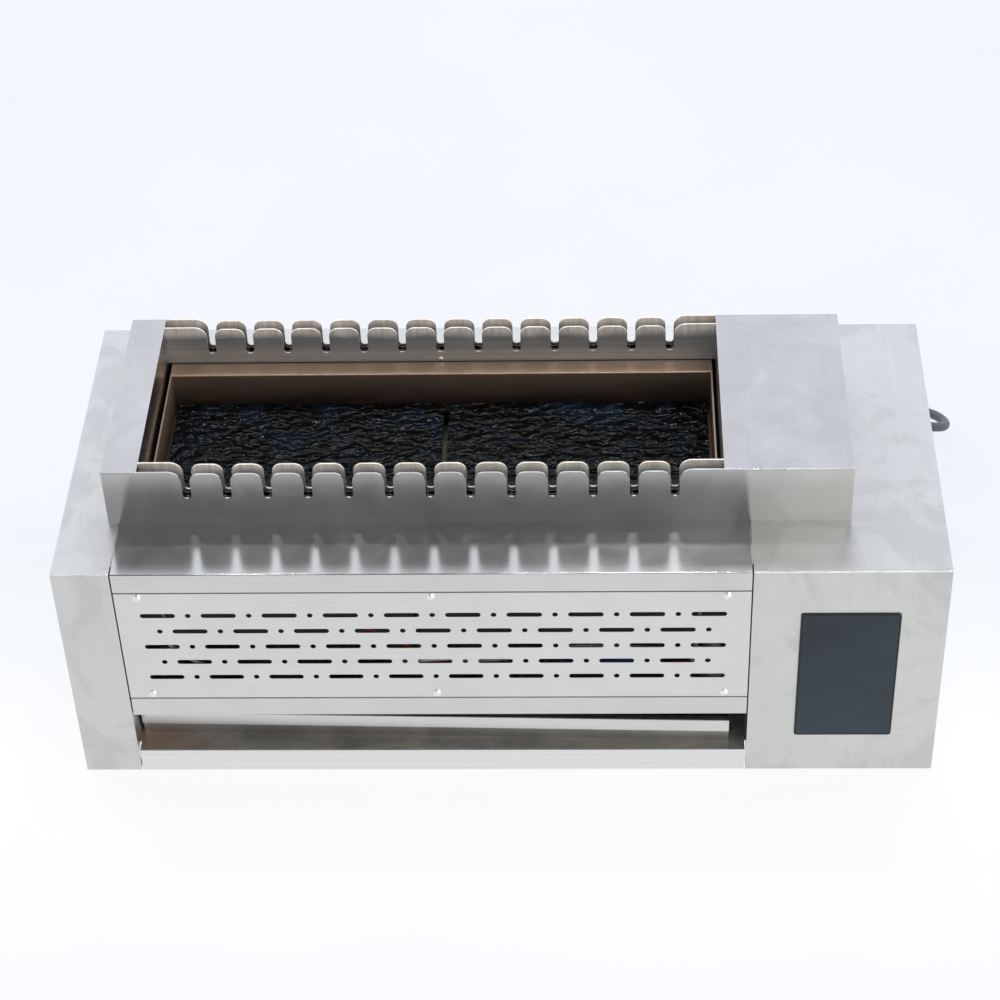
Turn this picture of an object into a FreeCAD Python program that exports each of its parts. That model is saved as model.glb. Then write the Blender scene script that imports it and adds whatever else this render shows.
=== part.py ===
import FreeCAD, Part
import math
import os
import re

import Sketcher
from FreeCAD import Placement, Rotation, Vector

# An electric skewer grill: a low box, a raised frame with two pairs of notched plates, a chain
# in each pair, two rippled glass panels over the heating elements, and a loose drip tray.
# x runs right from the left side, y back from the front face and z up from the ground, in
# millimetres. Every sub-part's Placement then moves it to the part's own frame, whose origin is
# on the ground under the middle of the box.

SIZES = [
    ("body_width", 768.0, "lower box, side to side"),
    ("body_depth", 342.0, "lower box, front to back"),
    ("body_height", 242.9, "lower box, without its pads"),
    ("sheet_metal", 1.2, "covers, base and inner walls"),
    ("plate_metal", 1.5, "notched plates and well liner"),
    ("seam_gap", 1.2, "open seam between two covers"),
    ("panel_gap", 1.6, "open seam above and below the perforated panel"),
    ("fit_gap", 0.3, "play between parts that are pushed together"),
    ("seat_gap", 0.05, "between two sheets that lie on each other"),
    ("edge_radius", 1.0, "rounding of folded outer edges"),
    ("pad_height", 1.5, "stick-on pad"),
    ("pad_radius", 8.0, "stick-on pad"),
    ("pad_inset", 14.0, "pad centre from the box's sides"),
    ("left_cover_width", 51.2, "left end cover, across the front"),
    ("right_cover_width", 168.3, "right end cover, across the front"),
    ("cover_return", 12.0, "inward fold of the covers' front and rear edges"),
    ("foot_return", 22.0, "inward fold along the covers' lower side edges"),
    ("vent_width", 4.0, "vent slot"),
    ("side_vent_pitch", 15.0, "vents of the right end cover"),
    ("side_vent_height", 36.0, "vents of the right end cover"),
    ("side_vent_level", 60.0, "foot of those vents above the ground"),
    ("rear_vent_pitch", 20.0, "vents of the rear cover"),
    ("rear_vent_height", 40.0, "vents of the rear cover"),
    ("rear_vent_level", 80.0, "foot of the lower vents above the ground"),
    ("rear_vent_rise", 70.0, "from one row of rear vents to the next"),
    ("partition_fold", 13.0, "folds of the partitions, out to their edges"),
    ("partition_step", 40.0, "rear joint of a partition above the rail"),
    ("partition_joint", 20.0, "height of that joint"),
    ("lead_way_front", 22.0, "opening for the leads behind the front face"),
    ("lead_way_width", 31.0, "opening for the leads"),
    ("lead_way_rise", 2.3, "opening for the leads above the rail"),
    ("lead_way_height", 13.0, "opening for the leads"),
    ("strip_height", 25.2, "bottom front strip, up to the tray floor"),
    ("recess_height", 46.8, "opening for the drip tray"),
    ("rail_height", 21.2, "rail between tray opening and perforated panel"),
    ("rail_depth", 14.0, "inward fold of the rail and of the shelf lip"),
    ("lip_height", 21.4, "lip of the front shelf"),
    ("joggle_height", 15.0, "flange behind the perforated panel's edges"),
    ("slot_pitch", 52.9, "perforations, side to side"),
    ("slot_row_pitch", 18.7, "perforations, up and down"),
    ("slot_length", 30.6, "long perforation, end to end"),
    ("slot_width", 5.0, "long perforation"),
    ("dot_radius", 2.45, "round perforation"),
    ("slot_margin", 30.0, "least distance from panel edge to a perforation's centre"),
    ("screw_radius", 2.0, "M4 shank"),
    ("screw_head_radius", 4.0, "pan head"),
    ("screw_head_height", 2.0, "pan head"),
    ("screw_length", 9.0, "under the head"),
    ("screw_inset", 20.5, "panel screws from the centre section's edges"),
    ("screw_edge", 5.5, "panel screws from the panel's upper and lower edges"),
    ("nut_radius", 3.2, "rivet nut's body"),
    ("nut_length", 7.0, "rivet nut's body"),
    ("plate_screw_radius", 1.1, "small screw in the inner plates"),
    ("frame_left", 42.4, "raised frame from the left side"),
    ("frame_right_inset", 81.4, "raised frame from the right side"),
    ("frame_front", 65.4, "raised frame from the front face"),
    ("frame_depth", 215.8, "raised frame, front to back"),
    ("frame_height", 58.9, "raised frame above the box"),
    ("cap_width", 30.8, "left raised cap"),
    ("housing_width", 110.4, "drive housing"),
    ("plate_spacing", 12.6, "outer face to outer face of a pair of notched plates"),
    ("notch_pitch", 35.0, "skewer spacing"),
    ("notch_width", 7.5, "slot for a skewer"),
    ("notch_depth", 29.5, "below the frame's top"),
    ("notch_margin", 33.0, "least length of a plate's end beyond the last notch"),
    ("tab_drop", 2.0, "tab tops below the frame's top"),
    ("tab_radius", 8.5, "shoulders of the tabs"),
    ("end_radius", 11.0, "shoulders of the plate ends"),
    ("inner_plate_height", 40.3, "inner notched plate"),
    ("liner_gap", 3.0, "well liner from the cap and housing"),
    ("ledge_width", 19.1, "liner ledge, plate to wall"),
    ("glass_drop", 32.5, "glass below the ledge"),
    ("glass_thickness", 5.0, "rippled glass"),
    ("glass_play", 3.0, "glass from the liner walls"),
    ("glass_joint", 4.5, "gap between the two glass panels"),
    ("glass_joint_place", 330.0, "middle of that gap from the left side"),
    ("glass_seat", 8.0, "liner's lower flange under the glass"),
    ("pan_height", 30.0, "heater pan"),
    ("board_thickness", 8.0, "insulation board"),
    ("element_radius", 3.5, "tubular heating element"),
    ("element_pitch", 28.0, "between two legs of an element"),
    ("element_legs", 8.0, "legs of each element, an even count"),
    ("element_margin", 16.0, "element from the pan's walls"),
    ("bush_radius", 7.0, "ceramic bush"),
    ("bush_collar", 2.0, "ceramic bush's collar"),
    ("element_end", 3.0, "element in front of the bulkhead"),
    ("terminal_length", 16.0, "threaded end of an element"),
    ("chain_pitch", 8.0, "roller chain"),
    ("roller_radius", 2.5, "roller chain"),
    ("chain_gap", 3.2, "between a chain's inner plates"),
    ("link_metal", 0.8, "chain plate"),
    ("link_height", 7.1, "chain plate"),
    ("pin_radius", 1.15, "chain pin"),
    ("pin_play", 0.06, "chain pin in its bush"),
    ("run_drop", 34.0, "upper chain run below the frame's top"),
    ("sprocket_teeth", 8.0, "each chain sprocket"),
    ("sprocket_width", 2.6, "toothed part"),
    ("roller_play", 0.12, "chain roller in its seat"),
    ("seat_core", 1.85, "solid middle of a chain wheel below its pitch circle"),
    ("hub_radius", 5.9, "sprocket hub"),
    ("shaft_radius", 4.0, "drive and idler shaft"),
    ("shaft_play", 0.05, "shaft in its bush, radial"),
    ("bearing_place", 14.0, "bearing stand from the chain's middle"),
    ("stand_metal", 3.0, "bearing stand"),
    ("stand_width", 22.0, "bearing stand"),
    ("stand_toe", 16.0, "bearing stand's foot, front to back"),
    ("collar_metal", 1.0, "bearing bush's collar"),
    ("sleeve_radius", 6.0, "bearing bush, outside"),
    ("gear_module", 1.5, "drive gears"),
    ("gear_teeth", 36.0, "gear on the drive shaft"),
    ("pinion_teeth", 18.0, "gear on the motor"),
    ("gear_width", 8.0, "gear on the drive shaft"),
    ("tooth_play", 0.12, "taken off each tooth, along the pitch circle"),
    ("motor_radius", 30.0, "gear motor"),
    ("motor_length", 58.0, "gear motor"),
    ("gearbox_length", 24.4, "the motor's wide front part"),
    ("motor_step", 4.0, "the motor's rear part is this much slimmer"),
    ("motor_cap_length", 6.0, "the motor's rear bearing"),
    ("motor_nose", 3.0, "wall of the motor's nose round its shaft"),
    ("shaft_engaged", 10.0, "output shaft inside the gearbox"),
    ("bracket_fold", 16.0, "the bracket's upper fold behind its plate"),
    ("motor_offset", 10.0, "motor's middle below its output shaft"),
    ("output_radius", 3.5, "motor's output shaft"),
    ("bracket_metal", 2.0, "motor bracket"),
    ("glass_panel_width", 86.0, "touch panel"),
    ("glass_panel_height", 149.0, "touch panel"),
    ("glass_panel_inset", 40.0, "touch panel from the right side"),
    ("glass_panel_base", 45.5, "touch panel above the box's lower edge"),
    ("glass_panel_metal", 1.2, "touch panel, proud of the cover"),
    ("glass_panel_corner", 2.5, "touch panel corners"),
    ("card_metal", 1.6, "circuit boards"),
    ("card_margin", 6.0, "touch board inside its window"),
    ("board_gap", 16.0, "control board from the right partition"),
    ("board_width", 120.0, "control board"),
    ("board_depth", 160.0, "control board"),
    ("board_front", 90.0, "control board behind the front face"),
    ("board_rise", 10.0, "control board above its floor"),
    ("spacer_radius", 3.5, "board spacer"),
    ("spacer_inset", 6.0, "spacers from the control board's edges"),
    ("block_height", 16.0, "terminal block with the control board"),
    ("window_margin", 5.0, "cover round the touch panel's window"),
    ("tray_side_play", 16.0, "drip tray narrower than its opening"),
    ("tray_end_play", 52.0, "drip tray shorter than the box is deep"),
    ("tray_height", 29.0, "drip tray"),
    ("tray_metal", 1.0, "drip tray"),
    ("tray_front", 24.0, "tray's front left corner from the front face"),
    ("tray_inset", 1.8, "tray's front left corner from its opening's left side"),
    ("tray_turn", 1.25, "degrees that the loose tray stands askew"),
    ("tray_lip_reach", 4.5, "front lip in front of the tray"),
    ("tray_lip_drop", 13.5, "front lip, top to bottom"),
    ("cord_radius", 4.75, "power cord"),
    ("gland_radius", 11.0, "cable gland"),
    ("gland_length", 9.0, "cable gland outside the rear cover"),
    ("gland_nut_length", 6.0, "cable gland's nut inside the rear cover"),
    ("gland_step", 3.0, "cable gland's neck slimmer than its head"),
    ("relief_wall", 1.3, "strain relief round the cord at its end"),
    ("relief_length", 26.0, "tapered strain relief"),
    ("gland_inset", 138.0, "gland from the right side"),
    ("gland_height", 118.0, "gland above the ground"),
    ("plug_height", 29.0, "mains plug, lying"),
    ("plug_width", 38.0, "mains plug"),
    ("plug_depth", 34.0, "mains plug without neck and pins"),
    ("plug_neck", 22.0, "mains plug's tapered neck"),
    ("pin_length", 17.0, "plug pin"),
    ("pin_width", 6.3, "plug pin"),
    ("pin_metal", 1.6, "plug pin"),
    ("plug_rounding", 6.0, "mains plug's long edges"),
    ("wire_radius", 1.6, "silicone leads"),
    ("lead_pitch", 7.0, "between two leads in the partition's opening"),
]

PLACES = [
    ("body_top", "pad_height + body_height"),
    ("left_edge", "left_cover_width - seam_gap / 2"),
    ("centre_left", "left_cover_width + seam_gap / 2"),
    ("right_edge", "body_width - right_cover_width + seam_gap / 2"),
    ("centre_right", "body_width - right_cover_width - seam_gap / 2"),
    ("floor_top", "pad_height + strip_height"),
    ("recess_top", "floor_top + recess_height"),
    ("rail_top", "recess_top + rail_height"),
    ("lip_bottom", "body_top - lip_height"),
    ("frame_right", "body_width - frame_right_inset"),
    ("frame_back", "frame_front + frame_depth"),
    ("frame_top", "body_top + frame_height"),
    ("well_left", "frame_left + cap_width"),
    ("well_right", "frame_right - housing_width"),
    ("inner_front", "frame_front + plate_spacing"),
    ("inner_back", "frame_back - plate_spacing"),
    ("ledge_top", "frame_top - inner_plate_height"),
    ("glass_top", "ledge_top - glass_drop"),
    ("glass_bottom", "glass_top - glass_thickness"),
    ("liner_left", "well_left + liner_gap"),
    ("liner_right", "well_right - liner_gap"),
    ("liner_front", "inner_front + plate_metal + ledge_width"),
    ("liner_back", "inner_back - plate_metal - ledge_width"),
    ("pan_top", "glass_bottom - plate_metal"),
    ("pan_floor", "pan_top - pan_height + sheet_metal"),
    ("pan_left", "liner_left + plate_metal + fit_gap"),
    ("pan_right", "liner_right - plate_metal - fit_gap"),
    ("pan_front", "liner_front + fit_gap"),
    ("pan_back", "liner_back - fit_gap"),
    ("element_level", "pan_floor + board_thickness + element_radius"),
    ("pitch_radius", "chain_pitch / 2 / sin(180 / sprocket_teeth)"),
    ("shaft_level", "frame_top - run_drop - pitch_radius"),
    ("idler_place", "frame_left + cap_width / 2"),
    ("housing_middle", "(frame_right + well_right) / 2"),
    ("run_links", "ceil((housing_middle - idler_place) / chain_pitch)"),
    ("drive_place", "idler_place + run_links * chain_pitch"),
    ("front_channel", "frame_front + (plate_spacing + plate_metal) / 2"),
    ("back_channel", "frame_back - (plate_spacing + plate_metal) / 2"),
    ("frame_middle", "frame_front + frame_depth / 2"),
    ("gear_distance", "gear_module * (gear_teeth + pinion_teeth) / 2"),
    ("gear_room", "gear_module * (gear_teeth / 2 + 1) + 2.5"),
    ("motor_level", "shaft_level - gear_distance"),
    ("motor_face", "frame_middle + gear_width / 2 + 6 * sheet_metal"),
    ("well_middle", "(well_left + well_right) / 2"),
    ("plate_screws", "ledge_top + 2.5 * plate_screw_radius"),
    ("notch_count", "floor((well_right - well_left - 2 * notch_margin) / notch_pitch) + 1"),
    ("first_notch", "well_middle - (notch_count - 1) * notch_pitch / 2"),
    ("panel_middle", "(centre_left + centre_right) / 2"),
    ("panel_level", "(rail_top + lip_bottom) / 2"),
    ("slot_count", "floor((centre_right - centre_left - 2 * slot_margin) / slot_pitch) + 1"),
    ("first_slot", "panel_middle - (slot_count - 1) * slot_pitch / 2"),
    ("partition_left", "left_edge - sheet_metal"),
    ("partition_right", "right_edge"),
    ("upper_screws", "lip_bottom - screw_edge"),
    ("lower_screws", "rail_top + screw_edge"),
    ("left_screws", "centre_left + screw_inset"),
    ("right_screws", "centre_right - screw_inset"),
    ("touch_left", "body_width - glass_panel_inset - glass_panel_width"),
    ("touch_base", "pad_height + glass_panel_base"),
    ("gland_place", "body_width - gland_inset"),
    ("board_level", "floor_top + board_rise"),
    ("board_left", "partition_right + board_gap"),
    ("block_face", "board_front + 136"),
    ("tray_width", "centre_right - centre_left - tray_side_play"),
    ("tray_depth", "body_depth - tray_end_play"),
    ("tray_left", "centre_left + tray_inset"),
]

NAMES_OF_SIZES = {row[0] for row in SIZES}
NAMES_OF_PLACES = {row[0] for row in PLACES}

doc = FreeCAD.newDocument("rotisserie_grill")
sizes = doc.addObject("Spreadsheet::Sheet", "sizes")
places = doc.addObject("Spreadsheet::Sheet", "places")
sums = doc.addObject("Spreadsheet::Sheet", "sums")


def in_sheets(formula, home=""):
    """The formula with each name led by its sheet; names of the home sheet stay bare."""
    def lead(match):
        word = match.group(0)
        if word in NAMES_OF_SIZES:
            return "sizes." + word
        if word in NAMES_OF_PLACES and home != "places":
            return "places." + word
        return word
    return re.sub(r"[A-Za-z_]\w*", lead, str(formula))


def fill_sheets():
    """Puts the driving sizes and the places worked out from them into their sheets."""
    for row, (name, amount, meaning) in enumerate(SIZES, start=1):
        sizes.set("A%d" % row, name)
        sizes.set("B%d" % row, str(amount))
        sizes.setAlias("B%d" % row, name)
        sizes.set("C%d" % row, meaning)
    doc.recompute()
    for row, (name, formula) in enumerate(PLACES, start=1):
        places.set("A%d" % row, name)
        places.set("B%d" % row, "=" + in_sheets(formula, "places"))
        places.setAlias("B%d" % row, name)
    doc.recompute()


def number(formula):
    """What a formula over the sheets comes to."""
    sums.set("A1", "=" + in_sheets(formula))
    sums.recompute()
    return float(sums.get("A1"))


def bind(thing, formulas):
    """Ties properties of a document object to formulas over the sheets."""
    for path, formula in formulas.items():
        thing.setExpression(path, in_sheets(formula))
    return thing


def block(name, x, y, z):
    """A box between two planes along each axis."""
    thing = doc.addObject("Part::Box", name)
    return bind(thing, {
        "Placement.Base.x": x[0],
        "Placement.Base.y": y[0],
        "Placement.Base.z": z[0],
        "Length": "(%s) - (%s)" % (x[1], x[0]),
        "Width": "(%s) - (%s)" % (y[1], y[0]),
        "Height": "(%s) - (%s)" % (z[1], z[0]),
    })


TURNS = {
    "x": Rotation(Vector(0, 1, 0), 90),
    "y": Rotation(Vector(1, 0, 0), -90),
    "z": Rotation(),
}


def rod(name, along, base, length, radius):
    """A cylinder that starts at base and runs along one axis."""
    thing = doc.addObject("Part::Cylinder", name)
    thing.Placement = Placement(Vector(), TURNS[along])
    return bind(thing, {
        "Placement.Base.x": base[0],
        "Placement.Base.y": base[1],
        "Placement.Base.z": base[2],
        "Height": length,
        "Radius": radius,
    })


def ordered(one, other):
    """Two places given as formulas, the lower one first."""
    return (one, other) if number(one) < number(other) else (other, one)


def fused(name, parts):
    thing = doc.addObject("Part::MultiFuse", name)
    thing.Shapes = parts
    thing.Refine = True
    return thing


def cut(name, base, tools):
    thing = doc.addObject("Part::Cut", name)
    thing.Base = base
    thing.Tool = tools[0] if len(tools) == 1 else fused(name + "_tools", tools)
    thing.Refine = True
    return thing


def grouped(name, parts):
    thing = doc.addObject("Part::Compound", name)
    thing.Links = parts
    return thing


def straight_edges(shape, along, **at):
    """Numbers of the straight edges along one axis whose middle has the given coordinates."""
    found = []
    for index, edge in enumerate(shape.Edges, start=1):
        if not isinstance(edge.Curve, (Part.Line, Part.LineSegment)):
            continue
        run = edge.Vertexes[-1].Point - edge.Vertexes[0].Point
        if abs(abs(getattr(run, along)) - run.Length) > 1e-6:
            continue
        middle = edge.CenterOfMass
        if all(min(abs(getattr(middle, axis) - value) for value in values) < 0.02
               for axis, values in at.items()):
            found.append(index)
    return found


def rounded(name, base, picks):
    """Rounds edges of base; picks are (radius, edge numbers)."""
    thing = doc.addObject("Part::Fillet", name)
    thing.Base = base
    thing.Edges = [(index, radius, radius) for radius, edges in picks for index in edges]
    return thing


SUBPARTS = []


def subpart(thing, label):
    """Takes an object as a finished sub-part and moves it to the part's frame."""
    thing.Label = label
    known = {path.lstrip("."): formula for path, formula in thing.ExpressionEngine}
    for axis, size in (("x", "body_width"), ("y", "body_depth")):
        path = "Placement.Base." + axis
        thing.setExpression(path, "(%s) - sizes.%s / 2" % (known.get(path, "0"), size))
    SUBPARTS.append(thing)
    return thing


def solid_feature(label, shape):
    """A sub-part whose shape is made with Part's own functions."""
    thing = doc.addObject("Part::Feature", label)
    thing.Shape = shape
    return subpart(thing, label)


def origin_plane(body, role):
    return [feature for feature in body.Origin.OriginFeatures if feature.Role == role][0]


def new_sketch(body, name, role):
    sketch = body.newObject("Sketcher::SketchObject", name)
    sketch.AttachmentSupport = [(origin_plane(body, role), "")]
    sketch.MapMode = "FlatFace"
    return sketch


def pin_point(sketch, geometry, end, x, y):
    """Ties a point of a sketch to formulas for its two coordinates."""
    for kind, formula in (("DistanceX", x), ("DistanceY", y)):
        index = sketch.addConstraint(
            Sketcher.Constraint(kind, -1, 1, geometry, end, number(formula)))
        name = "%s_%d" % (kind.lower(), index)
        sketch.renameConstraint(index, name)
        sketch.setExpression("Constraints." + name, in_sheets(formula))


def outline(sketch, corners):
    """A closed outline of straight lines through corners given as formulas."""
    points = [Vector(number(x), number(y), 0) for x, y in corners]
    first = sketch.GeometryCount
    count = len(points)
    for index in range(count):
        sketch.addGeometry(Part.LineSegment(points[index], points[(index + 1) % count]))
    for index in range(count):
        following = first + (index + 1) % count
        sketch.addConstraint(Sketcher.Constraint("Coincident", first + index, 2, following, 1))
    for index, (x, y) in enumerate(corners):
        pin_point(sketch, first + index, 1, x, y)


def ring(sketch, x, y, radius):
    """A circle whose middle and radius are formulas."""
    shape = Part.Circle(Vector(number(x), number(y), 0), Vector(0, 0, 1), number(radius))
    index = sketch.addGeometry(shape)
    pin_point(sketch, index, 3, x, y)
    name = "radius_%d" % index
    sketch.renameConstraint(
        sketch.addConstraint(Sketcher.Constraint("Radius", index, number(radius))), name)
    sketch.setExpression("Constraints." + name, in_sheets(radius))


def long_hole(sketch, x, y, length, width):
    """A slot with round ends, lying along the sketch's first axis."""
    radius = number(width) / 2
    half = number(length) / 2 - radius
    middle = Vector(number(x), number(y), 0)
    up = Vector(0, 0, 1)
    right = Part.ArcOfCircle(
        Part.Circle(middle + Vector(half, 0, 0), up, radius), -math.pi / 2, math.pi / 2)
    left = Part.ArcOfCircle(
        Part.Circle(middle - Vector(half, 0, 0), up, radius), math.pi / 2, 3 * math.pi / 2)
    a = sketch.addGeometry(right)
    b = sketch.addGeometry(left)
    top = sketch.addGeometry(Part.LineSegment(
        middle + Vector(half, radius, 0), middle + Vector(-half, radius, 0)))
    low = sketch.addGeometry(Part.LineSegment(
        middle + Vector(-half, -radius, 0), middle + Vector(half, -radius, 0)))
    for first, end, second, start in ((a, 2, top, 1), (top, 2, b, 1), (b, 2, low, 1), (low, 2, a, 1)):
        sketch.addConstraint(Sketcher.Constraint("Tangent", first, end, second, start))
    reach = "((%s) - (%s)) / 2" % (length, width)
    pin_point(sketch, a, 3, "(%s) + %s" % (x, reach), y)
    pin_point(sketch, b, 3, "(%s) - %s" % (x, reach), y)
    name = "radius_%d" % a
    sketch.renameConstraint(sketch.addConstraint(Sketcher.Constraint("Radius", a, radius)), name)
    sketch.setExpression("Constraints." + name, in_sheets("(%s) / 2" % width))


def turned_body(label, corners):
    """A solid turned about the y axis from an outline of (radius, y) formulas."""
    body = doc.addObject("PartDesign::Body", label)
    sketch = new_sketch(body, label + "_outline", "XY_Plane")
    outline(sketch, corners)
    turning = body.newObject("PartDesign::Revolution", label + "_turning")
    turning.Profile = sketch
    turning.ReferenceAxis = (sketch, ["V_Axis"])
    turning.Angle = 360
    return body


def placed_copies(master, spots, turn=None):
    """Equal solids, each at its own spot given as formulas."""
    solids = []
    for x, y, z in spots:
        shape = master.Shape.copy()
        shape.Placement = Placement(
            Vector(number(x), number(y), number(z)), turn or Rotation())
        solids.append(shape)
    return solids


def copies(label, master, spots, turn=None):
    """One sub-part made of equal solids."""
    doc.recompute()
    return solid_feature(label, Part.makeCompound(placed_copies(master, spots, turn)))


# The lower box


def end_cover(label, side):
    """A cover folded round one end of the box, open below and towards the middle."""
    left = side == "left"
    outer = "0" if left else "body_width"
    edge = "left_edge" if left else "right_edge"
    inward = "+" if left else "-"

    def span(start, reach):
        far = "%s %s (%s)" % (start, inward, reach)
        return (start, far) if left else (far, start)

    across = (outer, edge) if left else (edge, outer)
    shell = block(label + "_outside", across, ("0", "body_depth"), ("pad_height", "body_top"))
    hollow_x = ("sheet_metal", "body_width") if left else ("0", "body_width - sheet_metal")
    hollow = block(label + "_inside", hollow_x, ("sheet_metal", "body_depth - sheet_metal"),
                   ("0", "body_top - sheet_metal"))
    folded = cut(label + "_folded", shell, [hollow])
    doc.recompute()
    corner = number(outer)
    depth = number("body_depth")
    top = number("body_top")
    picks = straight_edges(folded.Shape, "x", y=[0, depth], z=[top])
    picks += straight_edges(folded.Shape, "y", x=[corner], z=[top])
    picks += straight_edges(folded.Shape, "z", x=[corner], y=[0, depth])
    bent = rounded(label + "_bent", folded, [(number("edge_radius"), picks)])
    inner = "%s %s sheet_metal" % (edge, "-" if left else "+")
    fold_x = (inner, edge) if left else (edge, inner)
    parts = [bent]
    parts.append(block(label + "_front_return", fold_x, ("sheet_metal / 2", "cover_return"),
                       ("pad_height", "body_top - sheet_metal / 2")))
    parts.append(block(label + "_rear_return", fold_x,
                       ("body_depth - cover_return", "body_depth - sheet_metal / 2"),
                       ("pad_height", "body_top - sheet_metal / 2")))
    parts.append(block(label + "_foot_return", span(outer, "foot_return"),
                       ("sheet_metal / 2", "body_depth - sheet_metal / 2"),
                       ("pad_height", "pad_height + sheet_metal")))
    reach = ("left_edge - 1", "well_left - sheet_metal - fit_gap")
    if not left:
        reach = ("well_right + sheet_metal + fit_gap", "right_edge + 1")
    parts.append(block(label + "_frame_seat", reach,
                       ("frame_front + plate_metal + fit_gap", "frame_back - plate_metal - fit_gap"),
                       ("body_top - sheet_metal", "body_top")))
    return fused(label + "_sheets", parts)


def vent_row(label, axis, middle, count, pitch, fixed, level, height):
    """A row of upright vent slots through one wall, to both sides of its middle."""
    slots = []
    for index in range(count):
        place = "%s + (%.1f) * %s" % (middle, index - (count - 1) / 2, pitch)
        span = (place + " - vent_width / 2", place + " + vent_width / 2")
        tall = (level, "%s + %s" % (level, height))
        x, y = (span, fixed) if axis == "x" else (fixed, span)
        slots.append(block("%s_%d" % (label, index), x, y, tall))
    return slots


def covers():
    left = end_cover("left_end_cover", "left")
    subpart(left, "left_end_cover")
    right = end_cover("right_end_cover", "right")
    window = block("touch_window",
                   ("touch_left + window_margin", "touch_left + glass_panel_width - window_margin"),
                   ("-1", "sheet_metal + 1"),
                   ("touch_base + window_margin",
                    "touch_base + glass_panel_height - window_margin"))
    opening = block("gear_opening",
                    ("drive_place - gear_room", "drive_place + gear_room"),
                    ("frame_middle - gear_width - 2", "motor_face - 1"),
                    ("body_top - 2 * sheet_metal", "body_top + 1"))
    gland = rod("gland_hole", "y", ("gland_place", "body_depth - 2 * sheet_metal", "gland_height"),
                "3 * sheet_metal", "gland_radius - gland_step")
    side = ("body_width - 2 * sheet_metal", "body_width + 1")
    vents = vent_row("side_vent", "y", "body_depth / 2", 10, "side_vent_pitch", side,
                     "side_vent_level", "side_vent_height")
    subpart(cut("right_end_cover", right, [window, opening, gland] + vents), "right_end_cover")


def base_pan():
    across = ("centre_left", "centre_right")
    floor = ("floor_top - sheet_metal", "floor_top")
    left = "sheet_metal + fit_gap"
    right = "body_width - sheet_metal - fit_gap"
    front_edge = "sheet_metal + fit_gap"
    back = "body_depth - sheet_metal - fit_gap"
    past_returns = ("cover_return + fit_gap", "body_depth - cover_return - fit_gap")
    parts = [
        block("tray_floor", across, ("0", back), floor),
        block("wide_floor", (left, right), past_returns, floor),
        block("left_floor", (left, "partition_left - fit_gap"), (front_edge, back), floor),
        block("right_floor", ("partition_right + sheet_metal + fit_gap", right),
              (front_edge, back), floor),
        block("bottom_strip", across, ("0", "sheet_metal"), ("pad_height", "floor_top")),
        block("bottom_fold", across, ("0", "cover_return"),
              ("pad_height", "pad_height + sheet_metal")),
        block("rear_flange", across, (back + " - sheet_metal", back),
              ("pad_height", "floor_top")),
        block("left_flange", (left, left + " + sheet_metal"), past_returns,
              ("pad_height + sheet_metal", "floor_top")),
        block("right_flange", (right + " - sheet_metal", right), past_returns,
              ("pad_height + sheet_metal", "floor_top")),
    ]
    subpart(fused("base_pan", parts), "base_pan")


def screw_holes(name, columns, rows, y):
    return [rod("%s_%d_%d" % (name, i, j), "y", (x, y, z), "3 * sheet_metal",
                "nut_radius + 0.05" if name.endswith("nut") else "screw_radius + 0.2")
            for i, x in enumerate(columns) for j, z in enumerate(rows)]


FRONT_COLUMNS = ("left_screws", "panel_middle", "right_screws")


def front():
    across = ("centre_left", "centre_right")
    behind = ("sheet_metal + seat_gap", "2 * sheet_metal + seat_gap")
    shelf = fused("shelf_sheets", [
        block("shelf_top", across, ("0", "frame_front + plate_metal"),
              ("body_top - sheet_metal", "body_top")),
        block("shelf_lip", across, ("0", "sheet_metal"), ("lip_bottom + panel_gap / 2", "body_top")),
        block("shelf_step", across, ("0", "2 * sheet_metal + seat_gap"),
              ("lip_bottom + panel_gap / 2", "lip_bottom + panel_gap / 2 + sheet_metal")),
        block("shelf_joggle", across, behind,
              ("lip_bottom - joggle_height", "lip_bottom + panel_gap / 2 + sheet_metal")),
    ])
    bored = cut("shelf_bored", shelf,
                screw_holes("shelf_nut", FRONT_COLUMNS, ("upper_screws",), "sheet_metal - 0.5"))
    doc.recompute()
    edge = straight_edges(bored.Shape, "x", y=[0], z=[number("body_top")])
    subpart(rounded("front_shelf", bored, [(number("edge_radius"), edge)]), "front_shelf")
    rail = fused("rail_sheets", [
        block("rail_face", across, ("0", "sheet_metal"), ("recess_top", "rail_top - panel_gap / 2")),
        block("rail_fold", across, ("0", "rail_depth"), ("recess_top", "recess_top + sheet_metal")),
        block("rail_step", across, ("0", "2 * sheet_metal + seat_gap"),
              ("rail_top - panel_gap / 2 - sheet_metal", "rail_top - panel_gap / 2")),
        block("rail_joggle", across, behind,
              ("rail_top - panel_gap / 2 - sheet_metal", "rail_top + joggle_height")),
    ])
    subpart(cut("lower_front_rail", rail,
                screw_holes("rail_nut", FRONT_COLUMNS, ("lower_screws",), "sheet_metal - 0.5")),
            "lower_front_rail")


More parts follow.
